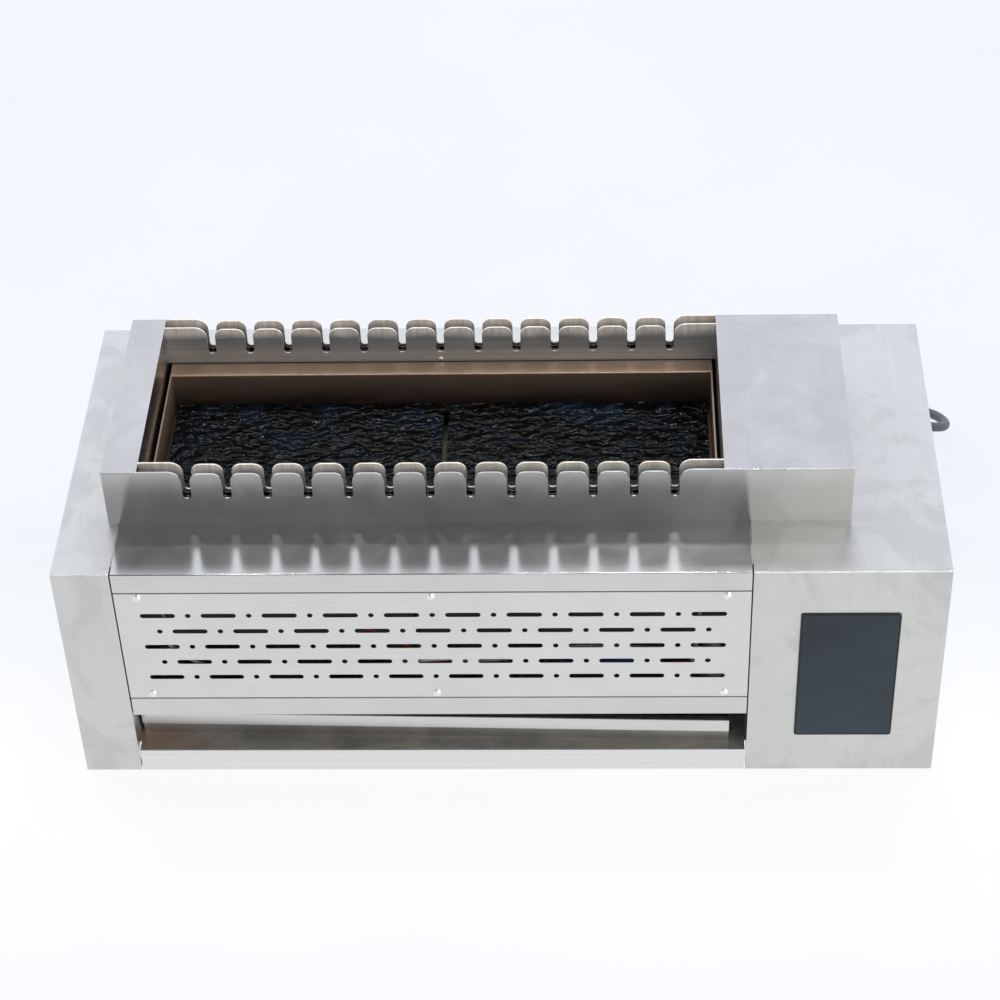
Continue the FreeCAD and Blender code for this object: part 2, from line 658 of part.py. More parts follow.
def perforated_panel():
    """Five rows of long and round holes, the rows set off by half a pitch in turn."""
    body = doc.addObject("PartDesign::Body", "perforated_front_panel")
    sheet = new_sketch(body, "panel_outline", "XZ_Plane")
    low = "rail_top + panel_gap / 2"
    high = "lip_bottom - panel_gap / 2"
    outline(sheet, [("centre_left", low), ("centre_right", low),
                    ("centre_right", high), ("centre_left", high)])
    pad = body.newObject("PartDesign::Pad", "panel_sheet")
    pad.Profile = sheet
    pad.Reversed = True
    bind(pad, {"Length": "sheet_metal"})
    holes = new_sketch(body, "panel_screw_holes", "XZ_Plane")
    for x in FRONT_COLUMNS:
        for z in ("upper_screws", "lower_screws"):
            ring(holes, x, z, "screw_radius + 0.2")
    drilling = body.newObject("PartDesign::Pocket", "panel_drilling")
    drilling.Profile = holes
    drilling.Type = "ThroughAll"
    drilling.Midplane = True
    for shift, rows, count in ((0, (-2, 0, 2), "slot_count"), (1, (-1, 1), "slot_count - 1")):
        column = new_sketch(body, "holes_column_%d" % shift, "XZ_Plane")
        place = "first_slot + %d * slot_pitch / 2" % shift
        for row in range(-2, 3):
            level = "panel_level + %d * slot_row_pitch" % row
            if row in rows:
                long_hole(column, place, level, "slot_length", "slot_width")
            else:
                ring(column, place, level, "dot_radius")
        pocket = body.newObject("PartDesign::Pocket", "punching_%d" % shift)
        pocket.Profile = column
        pocket.Type = "ThroughAll"
        pocket.Midplane = True
        doc.recompute()
        row_of = body.newObject("PartDesign::LinearPattern", "punched_row_%d" % shift)
        row_of.Originals = [pocket]
        row_of.Direction = (column, ["H_Axis"])
        row_of.Mode = "Spacing"
        bind(row_of, {"Offset": "slot_pitch", "Occurrences": count})
        body.Tip = row_of
        doc.recompute()
    subpart(body, "perforated_front_panel")


def rear():
    across = ("centre_left", "centre_right")
    sheets = fused("rear_sheets", [
        block("rear_top", across, ("frame_back - plate_metal", "body_depth"),
              ("body_top - sheet_metal", "body_top")),
        block("rear_face", across, ("body_depth - sheet_metal", "body_depth"),
              ("pad_height", "body_top")),
    ])
    wall = ("body_depth - 2 * sheet_metal", "body_depth + 1")
    tools = screw_holes("rear_hole", ("left_screws", "right_screws"),
                        ("lower_screws", "upper_screws"), "body_depth - 2 * sheet_metal")
    for row in range(2):
        tools += vent_row("rear_vent_%d" % row, "x", "panel_middle", 23, "rear_vent_pitch", wall,
                          "rear_vent_level + %d * rear_vent_rise" % row, "rear_vent_height")
    bored = cut("rear_bored", sheets, tools)
    doc.recompute()
    edge = straight_edges(bored.Shape, "x", y=[number("body_depth")], z=[number("body_top")])
    subpart(rounded("rear_cover", bored, [(number("edge_radius"), edge)]), "rear_cover")


def fasteners():
    """Pan head screws and the rivet nuts behind them, and the two small plate screws."""
    head = "screw_head_radius"
    screw = turned_body("pan_screw", [
        ("0", "0 - screw_head_height"), (head + " * 0.55", "0 - screw_head_height"),
        (head + " * 0.9", "0 - screw_head_height * 0.6"), (head, "0 - screw_head_height * 0.2"),
        (head, "0"), ("screw_radius", "0"), ("screw_radius", "screw_length"),
        ("0", "screw_length")])
    cross = new_sketch(screw, "recess_outline", "XZ_Plane")
    thin = "screw_radius * 0.22"
    wide = "screw_radius * 1.05"
    outline(cross, [
        ("0 - " + thin, "0 - " + wide), (thin, "0 - " + wide), (thin, "0 - " + thin),
        (wide, "0 - " + thin), (wide, thin), (thin, thin), (thin, wide), ("0 - " + thin, wide),
        ("0 - " + thin, thin), ("0 - " + wide, thin), ("0 - " + wide, "0 - " + thin),
        ("0 - " + thin, "0 - " + thin)])
    recess = screw.newObject("PartDesign::Pocket", "recess")
    recess.Profile = cross
    bind(recess, {"Length": "screw_head_height + 1"})
    doc.recompute()
    nut = turned_body("rivet_nut", [
        ("screw_radius + 0.05", "0"), ("nut_radius", "0"), ("nut_radius", "sheet_metal"),
        ("nut_radius + 0.9", "sheet_metal"), ("nut_radius + 0.9", "sheet_metal + 1"),
        ("nut_radius", "sheet_metal + 1"), ("nut_radius", "nut_length"),
        ("screw_radius + 0.05", "nut_length")])
    front_spots = [(x, "0", z) for x in FRONT_COLUMNS for z in ("upper_screws", "lower_screws")]
    rear_spots = [(x, "body_depth", z) for x in ("left_screws", "right_screws")
                  for z in ("upper_screws", "lower_screws")]
    copies("front_panel_screws", screw, front_spots)
    copies("rear_cover_screws", screw, rear_spots, Rotation(Vector(0, 0, 1), 180))
    doc.recompute()
    back_to_front = Rotation(Vector(0, 0, 1), 180)
    nuts = placed_copies(nut, [(x, "sheet_metal + seat_gap", z) for x, _, z in front_spots])
    nuts += placed_copies(nut, [(x, "body_depth - sheet_metal - seat_gap", z)
                                for x, _, z in rear_spots], back_to_front)
    solid_feature("rivet_nuts", Part.makeCompound(nuts))
    small = turned_body("small_screw", [
        ("0", "0"), ("plate_screw_radius", "0"), ("plate_screw_radius", "plate_metal"),
        ("2 * plate_screw_radius", "plate_metal"),
        ("2 * plate_screw_radius", "plate_metal + 0.4"),
        ("1.2 * plate_screw_radius", "plate_metal + 0.9"), ("0", "plate_metal + 0.9")])
    doc.recompute()
    screws = placed_copies(small, [("well_middle", "inner_front", "plate_screws")])
    screws += placed_copies(small, [("well_middle", "inner_back", "plate_screws")], back_to_front)
    solid_feature("inner_plate_screws", Part.makeCompound(screws))


def foot_pads():
    master = doc.addObject("Part::Cylinder", "pad")
    bind(master, {"Radius": "pad_radius", "Height": "pad_height"})
    spots = [(x, y, "0") for x in ("pad_inset", "body_width - pad_inset")
             for y in ("pad_inset", "body_depth - pad_inset")]
    copies("foot_pads", master, spots)


def partition(label, side):
    """An upright wall between the middle of the box and one end, with folds to carry parts."""
    left = side == "left"
    face = "partition_left" if left else "partition_right"
    web = (face, face + " + sheet_metal")
    fold = ("%s + sheet_metal" % face, "%s + partition_fold" % face)
    flange = ("%s + sheet_metal" % face, "left_screws + 12")
    if not left:
        fold = ("%s - partition_fold + sheet_metal" % face, face)
        flange = ("right_screws - 12", face)
    depth = ("cover_return + fit_gap", "body_depth - cover_return - fit_gap")
    wall_back = ("body_depth - 2 * sheet_metal - seat_gap", "body_depth - sheet_metal - seat_gap")
    height = ("floor_top", "body_top - sheet_metal")
    parts = [
        block(label + "_web", web, depth, height),
        block(label + "_top_fold", fold, (depth[0], "frame_front"),
              ("body_top - 2 * sheet_metal", "body_top - sheet_metal")),
        block(label + "_top_fold_rear", fold, ("frame_back", wall_back[1]),
              ("body_top - 2 * sheet_metal", "body_top - sheet_metal")),
        block(label + "_rear_flange", flange, wall_back, height),
        block(label + "_rear_joint", (fold[0], fold[1]), (depth[1] + " - 2", wall_back[1]),
              ("rail_top + partition_step", "rail_top + partition_step + partition_joint")),
    ]
    if left:
        parts.append(block(label + "_rear_link", (web[0], fold[1]),
                           (depth[1] + " - 2", depth[1]), height))
    else:
        parts.append(block(label + "_rear_link", (fold[0], web[1]),
                           (depth[1] + " - 2", depth[1]), height))
    holes = screw_holes(label + "_nut", ("left_screws" if left else "right_screws",),
                        ("lower_screws", "upper_screws"), "body_depth - 3 * sheet_metal")
    if not left:
        low = "rail_top + lead_way_rise"
        holes.append(block("lead_way", ("partition_right - 1", "partition_right + 3"),
                           ("lead_way_front", "lead_way_front + lead_way_width"),
                           (low, low + " + lead_way_height")))
    subpart(cut(label, fused(label + "_sheets", parts), holes), label)


def bulkhead(label, side):
    """The upright wall under one pair of notched plates, which carries the liner's ledge."""
    front_side = side == "front"
    face = ("inner_front", "inner_front + sheet_metal")
    if not front_side:
        face = ("inner_back - sheet_metal", "inner_back")
    parts = [
        block(label + "_low", ("partition_left + sheet_metal + 0.1", "partition_right - 0.1"), face,
              ("rail_top + 3", "body_top - 2 * sheet_metal - 0.1")),
        block(label + "_high", ("liner_left", "liner_right"), face,
              ("body_top - 3 * sheet_metal", "ledge_top - plate_metal")),
    ]
    sheets = fused(label + "_sheets", parts)
    if front_side:
        holes = [rod("%s_hole_%d" % (label, index), "y", (x, "inner_front - 1", "element_level"),
                     "sheet_metal + 2", "bush_radius - 2")
                 for index, x in enumerate(element_ends())]
        sheets = cut(label + "_bored", sheets, holes)
    subpart(sheets, label)


def inner_walls():
    partition("left_partition", "left")
    partition("right_partition", "right")
    bulkhead("front_bulkhead", "front")
    bulkhead("rear_bulkhead", "rear")


# The raised frame


def notched_plate(label, y, x, z, carries_row):
    """An upright plate with a notch for each skewer; a long one also stands under the caps."""
    base = block(label + "_plate", x, (y, y + " + plate_metal"), z)
    count = int(round(number("notch_count")))
    deep = (y + " - 1", y + " + plate_metal + 1")
    tools = [block(label + "_row", ("first_notch", "first_notch + (notch_count - 1) * notch_pitch"),
                   deep, ("frame_top - tab_drop", "frame_top + 1"))]
    for index in range(count):
        place = "first_notch + %d * notch_pitch" % index
        tools.append(block("%s_notch_%d" % (label, index),
                           (place + " - notch_width / 2", place + " + notch_width / 2"),
                           deep, ("frame_top - notch_depth", "frame_top + 1")))
    if carries_row == "long":
        for name, span in (("left", ("frame_left - 1", "well_left")),
                           ("right", ("well_right", "frame_right + 1"))):
            tools.append(block("%s_%s_step" % (label, name), span, deep,
                               ("frame_top - sheet_metal - 0.1", "frame_top + 1")))
    else:
        tools.append(rod(label + "_screw_hole", "y", ("well_middle", y + " - 1", "plate_screws"),
                         "plate_metal + 2", "plate_screw_radius + seat_gap"))
    cutting = cut(label + "_cut", base, tools)
    doc.recompute()
    shape = cutting.Shape
    width = number("notch_width")
    tab = number("notch_pitch") - width
    first = number("first_notch")
    pitch = number("notch_pitch")
    last = first + (count - 1) * pitch
    top = number("frame_top")
    sides = [first + index * pitch + side * width / 2 for index in range(count) for side in (-1, 1)]
    outer = [first - width / 2, last + width / 2]
    tabs = straight_edges(shape, "y", x=sides, z=[top - number("tab_drop")])
    ends = straight_edges(shape, "y", x=outer, z=[top])
    feet = straight_edges(shape, "y", x=sides, z=[top - number("notch_depth")])
    tab_radius = min(number("tab_radius"), 0.45 * tab, number("notch_depth - tab_drop") * 0.6)
    end_room = first - width / 2 - number("well_left")
    picks = [
        (tab_radius, tabs),
        (min(number("end_radius"), 0.8 * end_room, number("notch_depth") * 0.6), ends),
        (0.42 * width, feet),
    ]
    return rounded(label + "_rounded", cutting, picks)


def plates():
    across = ("frame_left", "frame_right")
    between = ("well_left", "well_right")
    tall = ("body_top", "frame_top")
    short = ("ledge_top", "frame_top")
    for label, y, x, z, kind in (
            ("front_outer_plate", "frame_front", across, tall, "long"),
            ("front_inner_plate", "inner_front", between, short, "short"),
            ("rear_inner_plate", "inner_back - plate_metal", between, short, "short"),
            ("rear_outer_plate", "frame_back - plate_metal", across, tall, "long")):
        subpart(notched_plate(label, y, x, z, kind), label)


def raised_cover(label, x, inner_side):
    """A cover folded down at its two sides, over one end of the raised frame."""
    deck = block(label + "_deck", x, ("frame_front", "frame_back"),
                 ("frame_top - sheet_metal", "frame_top"))
    doc.recompute()
    edges = straight_edges(deck.Shape, "x", y=[number("frame_front"), number("frame_back")],
                           z=[number("frame_top")])
    soft = rounded(label + "_soft_deck", deck, [(number("edge_radius") * 0.8, edges)])
    long_y = ("frame_front + plate_metal + seat_gap", "frame_back - plate_metal - seat_gap")
    short_y = ("inner_front", "inner_back")
    down = ("body_top", "frame_top - sheet_metal / 2")
    above = ("body_top + sheet_metal", "frame_top - sheet_metal / 2")
    left_skirt = (x[0], x[0] + " + sheet_metal")
    right_skirt = (x[1] + " - sheet_metal", x[1])
    if inner_side == "right":
        skirts = [block(label + "_outer_skirt", left_skirt, long_y, down),
                  block(label + "_inner_skirt", right_skirt, short_y, above)]
    else:
        skirts = [block(label + "_outer_skirt", right_skirt, long_y, down),
                  block(label + "_inner_skirt", left_skirt, short_y, above)]
    subpart(fused(label, [soft] + skirts), label)


def well():
    """The folded liner of the well, with a ledge under each inner plate and a seat for glass."""
    outer = block("liner_outside", ("liner_left", "liner_right"),
                  ("liner_front - plate_metal", "liner_back + plate_metal"), ("pan_top", "ledge_top"))
    hollow = block("liner_inside", ("liner_left + plate_metal", "liner_right - plate_metal"),
                   ("liner_front", "liner_back"), ("glass_bottom", "ledge_top + 1"))
    opening = block("liner_opening",
                    ("liner_left + plate_metal + glass_seat",
                     "liner_right - plate_metal - glass_seat"),
                    ("liner_front + glass_seat", "liner_back - glass_seat"),
                    ("pan_top - 1", "glass_bottom + 1"))
    box = cut("liner_box", outer, [hollow, opening])
    ledges = [
        block("front_ledge", ("liner_left", "liner_right"), ("inner_front", "liner_front"),
              ("ledge_top - plate_metal", "ledge_top")),
        block("rear_ledge", ("liner_left", "liner_right"), ("liner_back", "inner_back"),
              ("ledge_top - plate_metal", "ledge_top")),
    ]
    sheets = fused("liner_sheets", [box] + ledges)
    doc.recompute()
    edges = straight_edges(sheets.Shape, "x", y=[number("liner_front"), number("liner_back")],
                           z=[number("ledge_top")])
    subpart(rounded("well_liner", sheets, [(number("edge_radius"), edges)]), "well_liner")


def glass_panels():
    y = ("liner_front + glass_play / 2", "liner_back - glass_play / 2")
    z = ("glass_bottom", "glass_top")
    for label, x in (
            ("left_glass_panel", ("liner_left + plate_metal + glass_play",
                                  "glass_joint_place - glass_joint / 2")),
            ("right_glass_panel", ("glass_joint_place + glass_joint / 2",
                                   "liner_right - plate_metal - glass_play"))):
        slab = block(label + "_slab", x, y, z)
        doc.recompute()
        top = number("glass_top")
        edges = straight_edges(slab.Shape, "x", z=[top]) + straight_edges(slab.Shape, "y", z=[top])
        subpart(rounded(label, slab, [(0.8, edges)]), label)


# The heater


def element_starts():
    """The first leg of each element, as formulas."""
    span = "(element_legs - 1) * element_pitch"
    quarter = "(pan_right - pan_left) / 4"
    return ("pan_left + %s - %s / 2" % (quarter, span), "pan_right - %s - %s / 2" % (quarter, span))


def element_ends():
    ends = []
    for start in element_starts():
        ends += [start, start + " + (element_legs - 1) * element_pitch"]
    return ends


def heater():
    outside = block("pan_outside", ("pan_left", "pan_right"), ("pan_front", "pan_back"),
                    ("pan_floor - sheet_metal", "pan_top"))
    inside = block("pan_inside", ("pan_left + sheet_metal", "pan_right - sheet_metal"),
                   ("pan_front + sheet_metal", "pan_back - sheet_metal"),
                   ("pan_floor", "pan_top + 1"))
    holes = [rod("pan_hole_%d" % index, "y", (x, "pan_front - 1", "element_level"),
                 "sheet_metal + 2", "bush_radius - 2") for index, x in enumerate(element_ends())]
    subpart(cut("heater_pan", outside, [inside] + holes), "heater_pan")
    margin = "sheet_metal + fit_gap"
    slab = block("insulation_board", ("pan_left + " + margin, "pan_right - (%s)" % margin),
                 ("pan_front + " + margin, "pan_back - (%s)" % margin),
                 ("pan_floor", "pan_floor + board_thickness - 0.1"))
    subpart(slab, "insulation_board")
    for label, start in zip(("left_heating_element", "right_heating_element"), element_starts()):
        solid_feature(label, heating_element(number(start)))
    reach = "pan_front + sheet_metal + fit_gap / 2 - inner_front"
    bush = turned_body("bush", [
        ("element_radius + 0.1", "0 - bush_collar"), ("bush_radius", "0 - bush_collar"),
        ("bush_radius", "0"), ("bush_radius - 2.05", "0"), ("bush_radius - 2.05", reach),
        ("element_radius + 0.1", reach)])
    copies("ceramic_bushes", bush, [(x, "inner_front", "element_level") for x in element_ends()])
    stud = turned_body("terminal", [
        ("0", "0"), ("2", "0"), ("2", "terminal_length - 7"), ("4.2", "terminal_length - 7"),
        ("4.2", "terminal_length - 4"), ("2.6", "terminal_length - 4"), ("2.6", "terminal_length"),
        ("0", "terminal_length")])
    copies("element_terminals", stud,
           [(x, "inner_front - element_end - terminal_length", "element_level") for x in element_ends()])


def heating_element(start):
    """A tube that runs to and fro across the pan, both ends out through its front wall."""
    legs = int(round(number("element_legs")))
    pitch = number("element_pitch")
    bend = pitch / 2
    near = number("pan_front + element_margin") + bend
    far = number("pan_back - element_margin") - bend
    outside = number("inner_front - element_end")
    level = number("element_level")
    edges = []
    for leg in range(legs):
        x = start + leg * pitch
        low = outside if leg in (0, legs - 1) else near
        ends = [Vector(x, low, level), Vector(x, far, level)]
        if leg % 2:
            ends.reverse()
        edges.append(Part.LineSegment(*ends).toShape())
        if leg < legs - 1:
            turn = far + bend if leg % 2 == 0 else near - bend
            edges.append(Part.Arc(ends[1], Vector(x + bend, turn, level),
                                  Vector(x + pitch, ends[1].y, level)).toShape())
    return tube(edges, number("element_radius"))


def tube(edges, radius):
    """A round solid along a smooth chain of lines and arcs."""
    wire = Part.Wire(edges)
    first = edges[0]
    start = first.valueAt(first.FirstParameter)
    heading = first.tangentAt(first.FirstParameter)
    section = Part.Wire([Part.Circle(start, heading, radius).toShape()])
    return wire.makePipeShell([section], True, False)


# The drive


def chain_wheel(facing):
    """A chain wheel: round seats for the rollers, teeth shaped by the rollers' swing, and a hub."""
    count = int(round(number("sprocket_teeth")))
    pitch_radius = number("pitch_radius")
    seat = number("roller_radius + roller_play")
    swing = number("chain_pitch") - seat - number("seat_gap")
    width = number("sprocket_width")
    along = Vector(0, 1, 0)

    def disc(radius, turn=None):
        """A slice of the wheel's width about its middle, or about a roller's seat."""
        middle = Vector(0, -width / 2, 0 if turn is None else pitch_radius)
        made = Part.makeCylinder(radius, width, middle, along)
        if turn is not None:
            made.rotate(Vector(), along, turn * 360.0 / count)
        return made

    wheel = disc(number("pitch_radius - seat_core"))
    tips = disc(number("pitch_radius + 0.7 * roller_radius"))
    for index in range(count):
        wheel = wheel.fuse(disc(swing, index).common(disc(swing, index + 1)).common(tips))
    for index in range(count):
        wheel = wheel.cut(disc(seat, index))
    hub_length = number("bearing_place - fit_gap - collar_metal")
    hub = Part.makeCylinder(number("hub_radius"), hub_length, Vector(), Vector(0, facing, 0))
    bore = Part.makeCylinder(number("shaft_radius"), 4 * hub_length,
                             Vector(0, -2 * hub_length, 0), along)
    return wheel.fuse(hub).cut(bore).removeSplitter()


def placed_feature(label, shape, spot):
    """A sub-part with a shape of its own, at a spot given as formulas."""
    thing = doc.addObject("Part::Feature", label)
    thing.Shape = shape
    bind(thing, {"Placement.Base.%s" % axis: place for axis, place in zip("xyz", spot)})
    return subpart(thing, label)


def link(outer):
    """One chain link from a pin at the origin to the next, its pins along y."""
    pitch = number("chain_pitch")
    half = number("link_height") / 2
    metal = number("link_metal")
    inside = number("chain_gap") / 2
    near = inside + (metal + 0.1 if outer else 0)
    along = Vector(0, 1, 0)
    shape = None
    for side in (-1, 1):
        base = near if side > 0 else -near - metal
        plate = Part.makeCylinder(half, metal, Vector(0, base, 0), along)
        plate = plate.fuse(Part.makeCylinder(half, metal, Vector(pitch, base, 0), along))
        plate = plate.fuse(Part.makeBox(pitch, metal, 2 * half, Vector(0, base, -half)))
        shape = plate if shape is None else shape.fuse(plate)
    reach = near + metal + (0.5 if outer else 0)
    radius = number("pin_radius") if outer else number("roller_radius")
    for x in (0, pitch):
        length = 2 * reach if outer else 2 * inside
        shape = shape.fuse(Part.makeCylinder(radius, length, Vector(x, -length / 2, 0), along))
    if not outer:
        bore = number("pin_radius + pin_play")
        for x in (0, pitch):
            shape = shape.cut(Part.makeCylinder(bore, 4 * reach, Vector(x, -2 * reach, 0), along))
    return shape.removeSplitter()


def chain_pins():
    """The pins of one chain loop in order, as (x, z): along the top, round, back and round."""
    pitch = number("chain_pitch")
    radius = number("pitch_radius")
    left = number("idler_place")
    right = number("drive_place")
    level = number("shaft_level")
    links = int(round(number("run_links")))
    half_turn = int(round(number("sprocket_teeth"))) // 2
    pins = [(left + index * pitch, level + radius) for index in range(links)]
    for index in range(half_turn):
        angle = math.pi / 2 - index * math.pi / half_turn
        pins.append((right + radius * math.cos(angle), level + radius * math.sin(angle)))
    pins += [(right - index * pitch, level - radius) for index in range(links)]
    for index in range(half_turn):
        angle = -math.pi / 2 - index * math.pi / half_turn
        pins.append((left + radius * math.cos(angle), level + radius * math.sin(angle)))
    return pins


def chain(label, channel):
    pins = chain_pins()
    kinds = (link(False), link(True))
    solids = []
    for index, (x, z) in enumerate(pins):
        to_x, to_z = pins[(index + 1) % len(pins)]
        turn = -math.degrees(math.atan2(to_z - z, to_x - x))
        shape = kinds[index % 2].copy()
        shape.Placement = Placement(Vector(x, number(channel), z),
                                    Rotation(Vector(0, 1, 0), turn))
        solids.append(shape)
    solid_feature(label, Part.makeCompound(solids))


def involute(angle):
    return math.tan(angle) - angle


def spur_gear(teeth, bore, width, first_tooth):
    """A spur gear about the y axis; first_tooth is the angle of a tooth's middle, in degrees."""
    module = number("gear_module")
    pitch_radius = module * teeth / 2
    base_radius = pitch_radius * math.cos(math.radians(20))
    tip = pitch_radius + module
    root = pitch_radius - 1.25 * module
    half_tooth = math.pi / 2 / teeth - number("tooth_play") / 2 / pitch_radius
    middle = half_tooth + involute(math.radians(20))
    start = max(base_radius, root)
    steps = 6

    def point(radius, angle):
        return Vector(radius * math.cos(angle), -width / 2, radius * math.sin(angle))

    edges = []
    for index in range(teeth):
        centre = math.radians(first_tooth) + 2 * math.pi * index / teeth
        flank = []
        for step in range(steps + 1):
            radius = start + (tip - start) * step / steps
            away = middle - involute(math.acos(min(1.0, base_radius / radius)))
            flank.append((radius, away))
        rising = [point(radius, centre - away) for radius, away in flank]
        falling = [point(radius, centre + away) for radius, away in reversed(flank)]
        foot = flank[0][1]
        if root < start:
            edges.append(Part.LineSegment(point(root, centre - foot), rising[0]).toShape())
        for points in (rising, falling):
            curve = Part.BSplineCurve()
            curve.interpolate(points)
            edges.append(curve.toShape())
            if points is rising:
                edges.append(Part.Arc(rising[-1], point(tip, centre), falling[0]).toShape())
        if root < start:
            edges.append(Part.LineSegment(falling[-1], point(root, centre + foot)).toShape())
        gap = centre + math.pi / teeth
        low = point(root, centre + foot) if root < start else falling[-1]
        high_angle = centre + 2 * math.pi / teeth - foot
        edges.append(Part.Arc(low, point(root, gap), point(root, high_angle)).toShape())
    face = Part.Face(Part.Wire(edges))
    blank = face.extrude(Vector(0, width, 0))
    hole = Part.makeCylinder(bore, 2 * width, Vector(0, -width, 0), Vector(0, 1, 0))
    return blank.cut(hole)


def gears():
    teeth = int(round(number("gear_teeth")))
    wheel = spur_gear(teeth, number("shaft_radius"), number("gear_width"), -90)
    hub = Part.makeCylinder(number("shaft_radius + 5"), number("gear_width") / 2 + 6,
                            Vector(0, -number("gear_width") / 2 - 6, 0), Vector(0, 1, 0))
    hub = hub.cut(Part.makeCylinder(number("shaft_radius"), 60, Vector(0, -30, 0), Vector(0, 1, 0)))
    wheel = wheel.fuse(hub).removeSplitter()
    placed_feature("drive_gear", wheel, ("drive_place", "frame_middle", "shaft_level"))
    small = int(round(number("pinion_teeth")))
    half_step = 180.0 / small
    pinion = spur_gear(small, number("output_radius"), number("gear_width") - 0.5, 90 + half_step)
    placed_feature("motor_pinion", pinion, ("drive_place", "frame_middle", "motor_level"))


def shafts():
    start = "front_channel - sprocket_width / 2 - 1"
    length = "back_channel - front_channel + sprocket_width + 2"
    for name in ("drive", "idler"):
        x = name + "_place"
        shaft = rod(name + "_shaft", "y", (x, start, "shaft_level"), length, "shaft_radius")
        subpart(shaft, name + "_shaft")
        for side, channel, facing in (("front", "front_channel", 1), ("rear", "back_channel", -1)):
            placed_feature("%s_%s_sprocket" % (side, name), chain_wheel(facing),
                           (x, channel, "shaft_level"))


def bearings():
    """An angled stand with a flanged bush near each end of both shafts."""
    stands = []
    bushes = []
    half = "stand_width / 2"
    for name in ("drive", "idler"):
        x = name + "_place"
        span = ("%s - %s" % (x, half), "%s + %s" % (x, half))
        for side, channel, inward in (("front", "front_channel", "+"), ("rear", "back_channel", "-")):
            tag = "%s_%s" % (name, side)
            face = "%s %s bearing_place" % (channel, inward)
            far = "%s %s stand_metal" % (face, inward)
            toe = "%s %s stand_toe" % (face, inward)
            collar = "%s - (%s collar_metal)" % (face, inward)
            low = face if inward == "+" else far
            angle = fused(tag + "_angle", [
                block(tag + "_ear", span, ordered(face, far),
                      ("body_top", "shaft_level + sleeve_radius + 5")),
                block(tag + "_toe", span, ordered(face, toe),
                      ("body_top", "body_top + stand_metal")),
            ])
            bore = rod(tag + "_bore", "y", (x, low + " - 1", "shaft_level"), "stand_metal + 2",
                       "sleeve_radius")
            stands.append(cut(tag + "_stand", angle, [bore]))
            sleeve = fused(tag + "_sleeve", [
                rod(tag + "_barrel", "y", (x, low, "shaft_level"), "stand_metal",
                    "sleeve_radius"),
                rod(tag + "_collar", "y", (x, ordered(face, collar)[0], "shaft_level"),
                    "collar_metal", "sleeve_radius + 2"),
            ])
            hole = rod(tag + "_hole", "y", (x, low + " - 3", "shaft_level"), "stand_metal + 6",
                       "shaft_radius + shaft_play")
            bushes.append(cut(tag + "_bush", sleeve, [hole]))
    subpart(grouped("bearing_stands", stands), "bearing_stands")
    subpart(grouped("bearing_bushes", bushes), "bearing_bushes")


def motor():
    x = "drive_place"
    middle = "motor_level - motor_offset"
    half = "motor_radius"
    plate = ("motor_face - bracket_metal", "motor_face")
    bracket = fused("bracket_sheets", [
        block("bracket_plate", (x + " - " + half, x + " + " + half), plate,
              (middle + " - motor_radius", "body_top - sheet_metal")),
        block("bracket_fold", (x + " - " + half, x + " + " + half),
              ("motor_face - bracket_metal", "motor_face + bracket_fold"),
              ("body_top - sheet_metal - bracket_metal", "body_top - sheet_metal")),
    ])
    shaft_hole = rod("bracket_hole", "y", (x, "motor_face - 2 * bracket_metal", "motor_level"),
                     "4 * bracket_metal",
                     "output_radius + motor_nose + 2 * seat_gap")
    subpart(cut("motor_bracket", bracket, [shaft_hole]), "motor_bracket")
    case = fused("motor_case", [
        rod("motor_gearbox", "y", (x, "motor_face", middle), "gearbox_length", half),
        rod("motor_can", "y", (x, "motor_face", middle), "motor_length",
            "motor_radius - motor_step"),
        rod("motor_nose", "y", (x, "motor_face - bracket_metal", "motor_level"),
            "2 * bracket_metal", "output_radius + motor_nose"),
        rod("motor_cap", "y", (x, "motor_face", middle), "motor_length + motor_cap_length * 2 / 3",
            "motor_radius * 0.4"),
    ])
    bore = rod("motor_bore", "y", (x, "motor_face - bracket_metal - 1", "motor_level"),
               "1 + bracket_metal + shaft_engaged + fit_gap", "output_radius + shaft_play")
    subpart(cut("gear_motor", case, [bore]), "gear_motor")
    shaft = rod("motor_output_shaft", "y",
                (x, "frame_middle - gear_width / 2 - 1", "motor_level"),
                "motor_face - frame_middle + gear_width / 2 + 1 + shaft_engaged", "output_radius")
    subpart(shaft, "motor_output_shaft")


# Controls


# What stands on the back of the touch board: left, right, foot and top from the touch panel's
# lower left corner, and thickness.
TOUCH_BOARD_PARTS = [
    ("touch_plug", 20, 40, 20, 28, 7.35),
    ("touch_chip", 36, 48, 60, 72, 1.75),
]

# What stands on the control board: left, right, front and rear edges from its front left corner,
# and height above its underside.
CONTROL_BOARD_PARTS = [
    ("transformer", 10, 45, 10, 50, 30),
    ("relay_one", 60, 80, 15, 42, 22),
    ("relay_two", 88, 108, 15, 42, 22),
    ("heat_sink", 12, 52, 100, 146, 25),
    ("terminal_block", 66, 112, 136, 154, 16),
]


